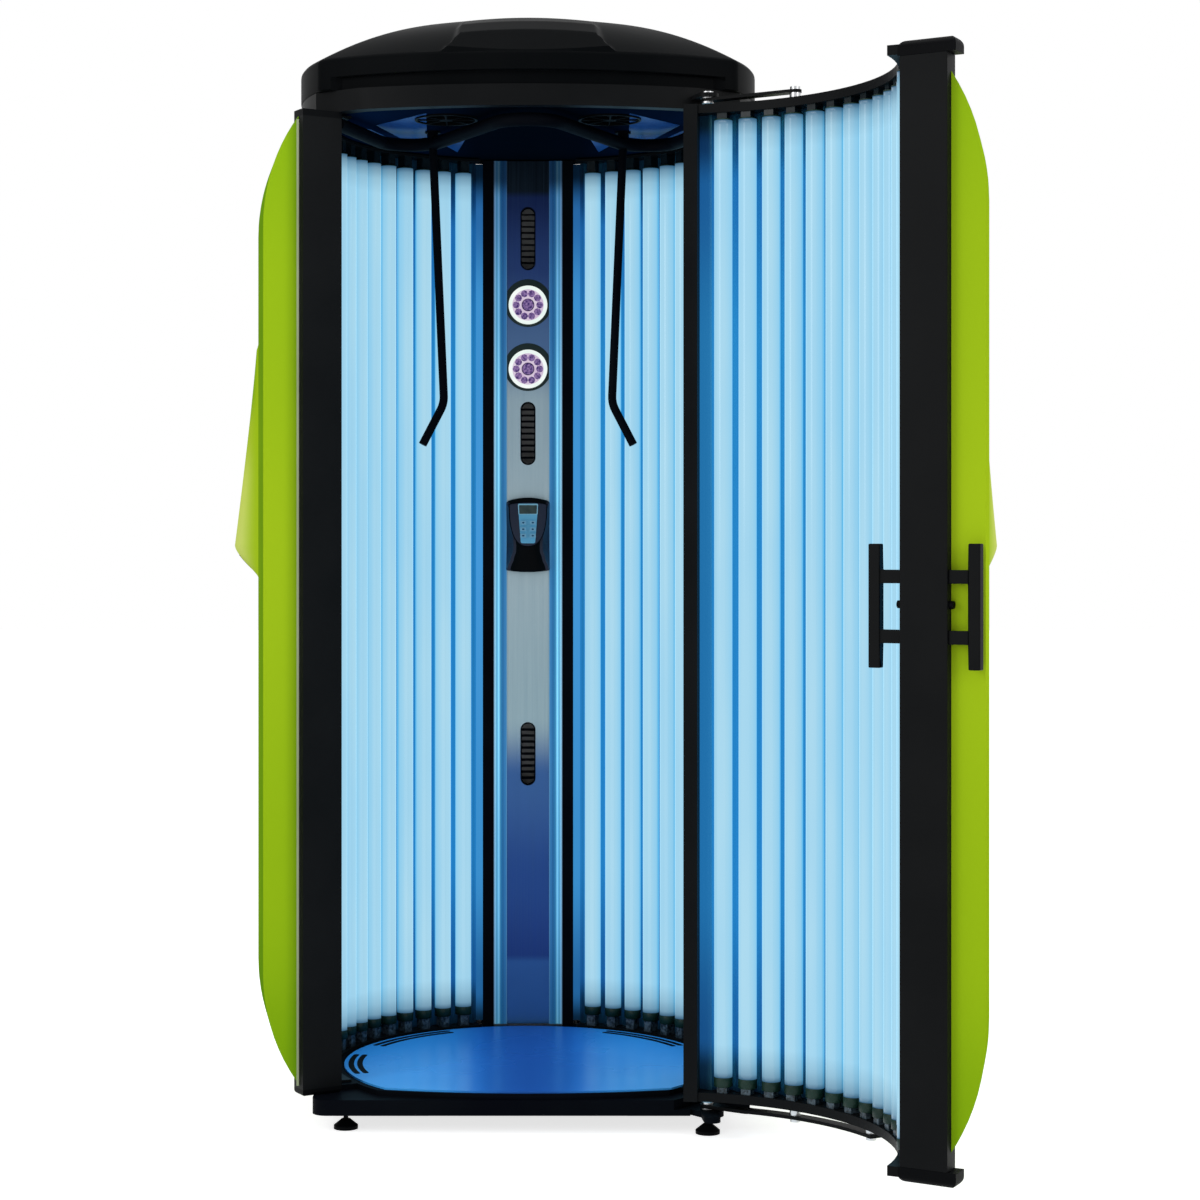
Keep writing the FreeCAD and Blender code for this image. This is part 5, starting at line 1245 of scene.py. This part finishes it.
def rear_closures():
    """Dark screen behind the rear louvres and plates behind the rear cover's end notches."""
    screen = thin_sheet(LOUVRE_SPAN, LOUVRE_HEIGHTS, 0.0036, 0.0046, 24)
    piece("rear_louvre_screen", screen, TRIM_BLACK, "cabin")
    low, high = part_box("ballast_plate")
    middle = (low.x + high.x) / 2
    rows = []
    for bottom, top in ((high.z - 0.075, high.z - 0.0006), (low.z + 0.0125, low.z + 0.08)):
        closure = rounded_block("closure", (NOTCH_WIDE, CLOSURE_SHEET, top - bottom), (0, 0, 0),
                                0.0003)
        rows.append((closure, Vector((middle, high.y + 0.0008, (bottom + top) / 2))))
    piece("rear_end_closures", gathered("closures", rows), BLACK_SATIN, "cabin")


def door_back_sheet():
    """Black sheet behind the door's reflector where the cover stops short of the stile."""
    low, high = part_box("door_reflector")
    sheet = thin_sheet(BACK_SHEET_SPAN, (low.z, high.z), 0.1143, 0.1153, 30)
    piece("door_back_sheet", swung(sheet), BLACK_SATIN, "door")


def hinge_seal():
    """Light seal on the right post that meets the closed door's stile."""
    low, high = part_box("right_post")
    strip = thin_sheet(SEAL_SPAN, (low.z + 0.002, high.z - 0.002), 0.1205, 0.1220, 6)
    piece("hinge_side_seal", strip, TRIM_BLACK, "cabin")


def cover_edge():
    """Painted highlight: a pale strip along the edge of the left cover where it meets the post."""
    low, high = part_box("left_post")
    mesh = rounded_block("edge", (*EDGE_SIZE, high.z - low.z - 0.012),
                         (0.0, 0.0, (low.z + high.z) / 2), 0.0004)
    turn = Matrix.Rotation(math.radians(EDGE_TURN), 4, "Z")
    mesh.transform(Matrix.Translation(EDGE_PLACE) @ turn)
    piece("left_cover_edge", mesh, EDGE_PAINTED_HIGHLIGHT, "cabin")


# ---------------------------------------------------------------- floor, base and ceiling details
GRIP_WIDE = 0.0120
GRIP_RADII = (0.3740, 0.3555)
GRIP_SPANS = ((-100, -71), (71, 100), (-151, -117), (117, 151))
ARC_STEPS = 24
END_STEPS = 6
APRON_WIDE = 0.424
APRON_SHEET = 0.006
BASE_FRONT = 0.312
RETURN_OUTER = 0.1315
RETURN_INNER = 0.085
RETURN_BACK = 0.4412
RETURN_TALL = 1.995
RETURN_MIDDLE = 1.0875
# corners of the ceiling's facets left of the column
FACETS = (
    ((-0.455, 0.181), (-0.342, 0.033), (-0.353, 0.338), (-0.405, 0.376)),
    ((-0.325, 0.4145), (-0.250, 0.2165), (-0.292, 0.545)),
    ((-0.500, 0.20), (-0.470, 0.235), (-0.415, 0.42), (-0.432, 0.44)),
)


def slab(outline, low, high):
    """Flat plate from an outline of (x, y) between two heights."""
    mesh, work = empty_mesh("slab")
    capped(work, [[work.verts.new((x, y, level)) for x, y in outline] for level in (low, high)])
    return closed(mesh, work, False)


def arc_outline(inner, outer, start, end):
    """Outline of a flat curved bar about the axis between two azimuths, with round ends."""
    middle, half = (inner + outer) / 2, (outer - inner) / 2
    turns = [math.radians(start + (end - start) * step / ARC_STEPS) for step in range(ARC_STEPS + 1)]
    outline = [(outer * math.sin(turn), -outer * math.cos(turn)) for turn in turns]
    for azimuth, side in ((turns[-1], 1), (turns[0], -1)):
        away = Vector((math.sin(azimuth), -math.cos(azimuth)))
        along = Vector((math.cos(azimuth), math.sin(azimuth))) * side
        for step in range(1, END_STEPS):
            angle = math.pi * step / END_STEPS
            outline.append(tuple(away * (middle + half * math.cos(angle) * side)
                                 + along * (half * math.sin(angle))))
        if side == 1:
            outline += [(inner * math.sin(turn), -inner * math.cos(turn)) for turn in reversed(turns)]
    return outline


def floor_slots():
    """Dark grip strips let into the floor in pairs."""
    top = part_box("floor_panel")[1].z
    rows = [(slab(arc_outline(inner, inner + GRIP_WIDE, start, end), top - 0.001, top + 0.0004), AXIS)
            for start, end in GRIP_SPANS for inner in GRIP_RADII]
    piece("floor_grip_strips", gathered("strips", rows), TRIM_BLACK, "cabin")


def base_apron():
    """Front apron of the base between its two front feet."""
    low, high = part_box("base_frame")
    mesh = rounded_block("apron", (APRON_WIDE, APRON_SHEET, high.z - low.z - 0.001),
                         (AXIS.x, AXIS.y - BASE_FRONT + 0.0028, (low.z + high.z) / 2 - 0.0004), 0.0004)
    piece("base_apron", mesh, TRIM_BLACK, "cabin")


def reflector_returns():
    """Strips that close the gap between the reflectors and the column trims, bright with painted lamp light."""
    middle = (RETURN_OUTER + RETURN_INNER) / 2
    rows = [(rounded_block("return", (RETURN_OUTER - RETURN_INNER, 0.0012, RETURN_TALL),
                           (AXIS.x + side * middle, AXIS.y + RETURN_BACK, RETURN_MIDDLE), 0.0003),
             Vector()) for side in (-1, 1)]
    piece("reflector_returns", gathered("returns", rows), RETURN_GLOW, "cabin")


def ceiling_facets():
    """Mirror facets on the ceiling beside the column."""
    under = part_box("ceiling_panel")[0].z
    rows = []
    for shape in FACETS:
        for corners in (shape, [(2 * AXIS.x - x, y) for x, y in shape]):
            rows.append((slab(corners, under - 0.0008, under + 0.0004), Vector()))
    piece("ceiling_facets", gathered("facets", rows), FACET_BLUE, "cabin")


scoops()
rear_closures()
door_back_sheet()
hinge_seal()
cover_edge()
floor_slots()
base_apron()
reflector_returns()
ceiling_facets()


# ---------------------------------------------------------------- camera
CAMERA_AWAY = 5.389
CAMERA_HIGH = 1.1975
LENS_LENGTH = 75.0
SENSOR_WIDTH = 36.0
LENS_SHIFT = (0.06, -0.0458)


def set_camera():
    """Level camera in front of the booth."""
    lens = bpy.data.cameras.new("camera")
    lens.lens = LENS_LENGTH
    lens.sensor_width = SENSOR_WIDTH
    lens.shift_x, lens.shift_y = LENS_SHIFT
    camera = bpy.data.objects.new("camera", lens)
    camera.location = (AXIS.x, AXIS.y - CAMERA_AWAY, CAMERA_HIGH)
    camera.rotation_euler = (math.radians(90), 0, 0)
    bpy.context.scene.collection.objects.link(camera)
    bpy.context.scene.camera = camera


# ---------------------------------------------------------------- light and stage
FLOOR_GLOW = 0.74
FLOOR_HALF = 30.0
# name, place, target, size and watts
SOFTBOXES = (
    ("left_softbox", (-3.4, -3.2, 2.6), (-0.1, 0.0, 1.1), (1.6, 2.6), 55.0),
    ("right_softbox", (3.6, -3.0, 2.4), (0.2, 0.0, 1.1), (1.6, 2.6), 45.0),
    ("top_softbox", (0.0, -0.6, 4.4), (0.0, 0.1, 1.2), (2.4, 2.0), 35.0),
)


def seen_directly(tree):
    """1 for camera, glossy and transmission rays, else 0."""
    path = added(tree, "ShaderNodeLightPath").outputs
    direct = maths(tree, "MAXIMUM", path["Is Camera Ray"], path["Is Glossy Ray"])
    return maths(tree, "MAXIMUM", direct, path["Is Transmission Ray"])


def set_world():
    """White surroundings: soft as light, full white where they are seen."""
    world = bpy.data.worlds.new("studio")
    bpy.context.scene.world = world
    world.use_nodes = True
    tree = world.node_tree
    soft = filled(tree, tree.nodes["Background"], {"Color": WHITE, "Strength": 0.55})
    full = added(tree, "ShaderNodeBackground", {"Color": WHITE, "Strength": 1.0})
    mix = added(tree, "ShaderNodeMixShader", {
        "Fac": seen_directly(tree), 1: soft.outputs[0], 2: full.outputs[0],
    })
    filled(tree, tree.nodes["World Output"], {"Surface": mix.outputs[0]})


def soft_light(name, place, target, size, power):
    """Rectangular soft light aimed at a point."""
    data = bpy.data.lights.new(name, "AREA")
    data.shape = "RECTANGLE"
    data.size, data.size_y = size
    data.energy = power
    lamp = bpy.data.objects.new(name, data)
    lamp.location = place
    lamp.rotation_mode = "QUATERNION"
    lamp.rotation_quaternion = (Vector(target) - Vector(place)).to_track_quat("-Z", "Y")
    bpy.context.scene.collection.objects.link(lamp)


def set_stage():
    """Pale studio floor that keeps the booth's shadow."""
    mesh, work = empty_mesh("studio_floor")
    bmesh.ops.create_grid(work, x_segments=1, y_segments=1, size=FLOOR_HALF)
    mesh = closed(mesh, work, False)
    material, tree, surface = new_material("studio_white")
    grain = ranged(tree, noise(tree, 30.0, 2.0), 0.0, 0.02)
    filled(tree, surface, {
        "Base Color": mixed(tree, grain, (0.9, 0.9, 0.9), (0.86, 0.86, 0.86)),
        "Roughness": 0.9, "Specular IOR Level": 0.0,
    })
    glow = added(tree, "ShaderNodeEmission", {
        "Color": WHITE, "Strength": maths(tree, "MULTIPLY", seen_directly(tree), FLOOR_GLOW),
    })
    both = added(tree, "ShaderNodeAddShader", {0: surface.outputs[0], 1: glow.outputs[0]})
    filled(tree, tree.nodes["Material Output"], {"Surface": both.outputs[0]})
    mesh.materials.append(material)
    ground = bpy.data.objects.new("studio_floor", mesh)
    bpy.context.scene.collection.objects.link(ground)
    ground.location.z = -0.0005


set_camera()
set_world()
set_stage()
for lamp in SOFTBOXES:
    soft_light(*lamp)

bpy.context.scene.view_settings.view_transform = "Standard"
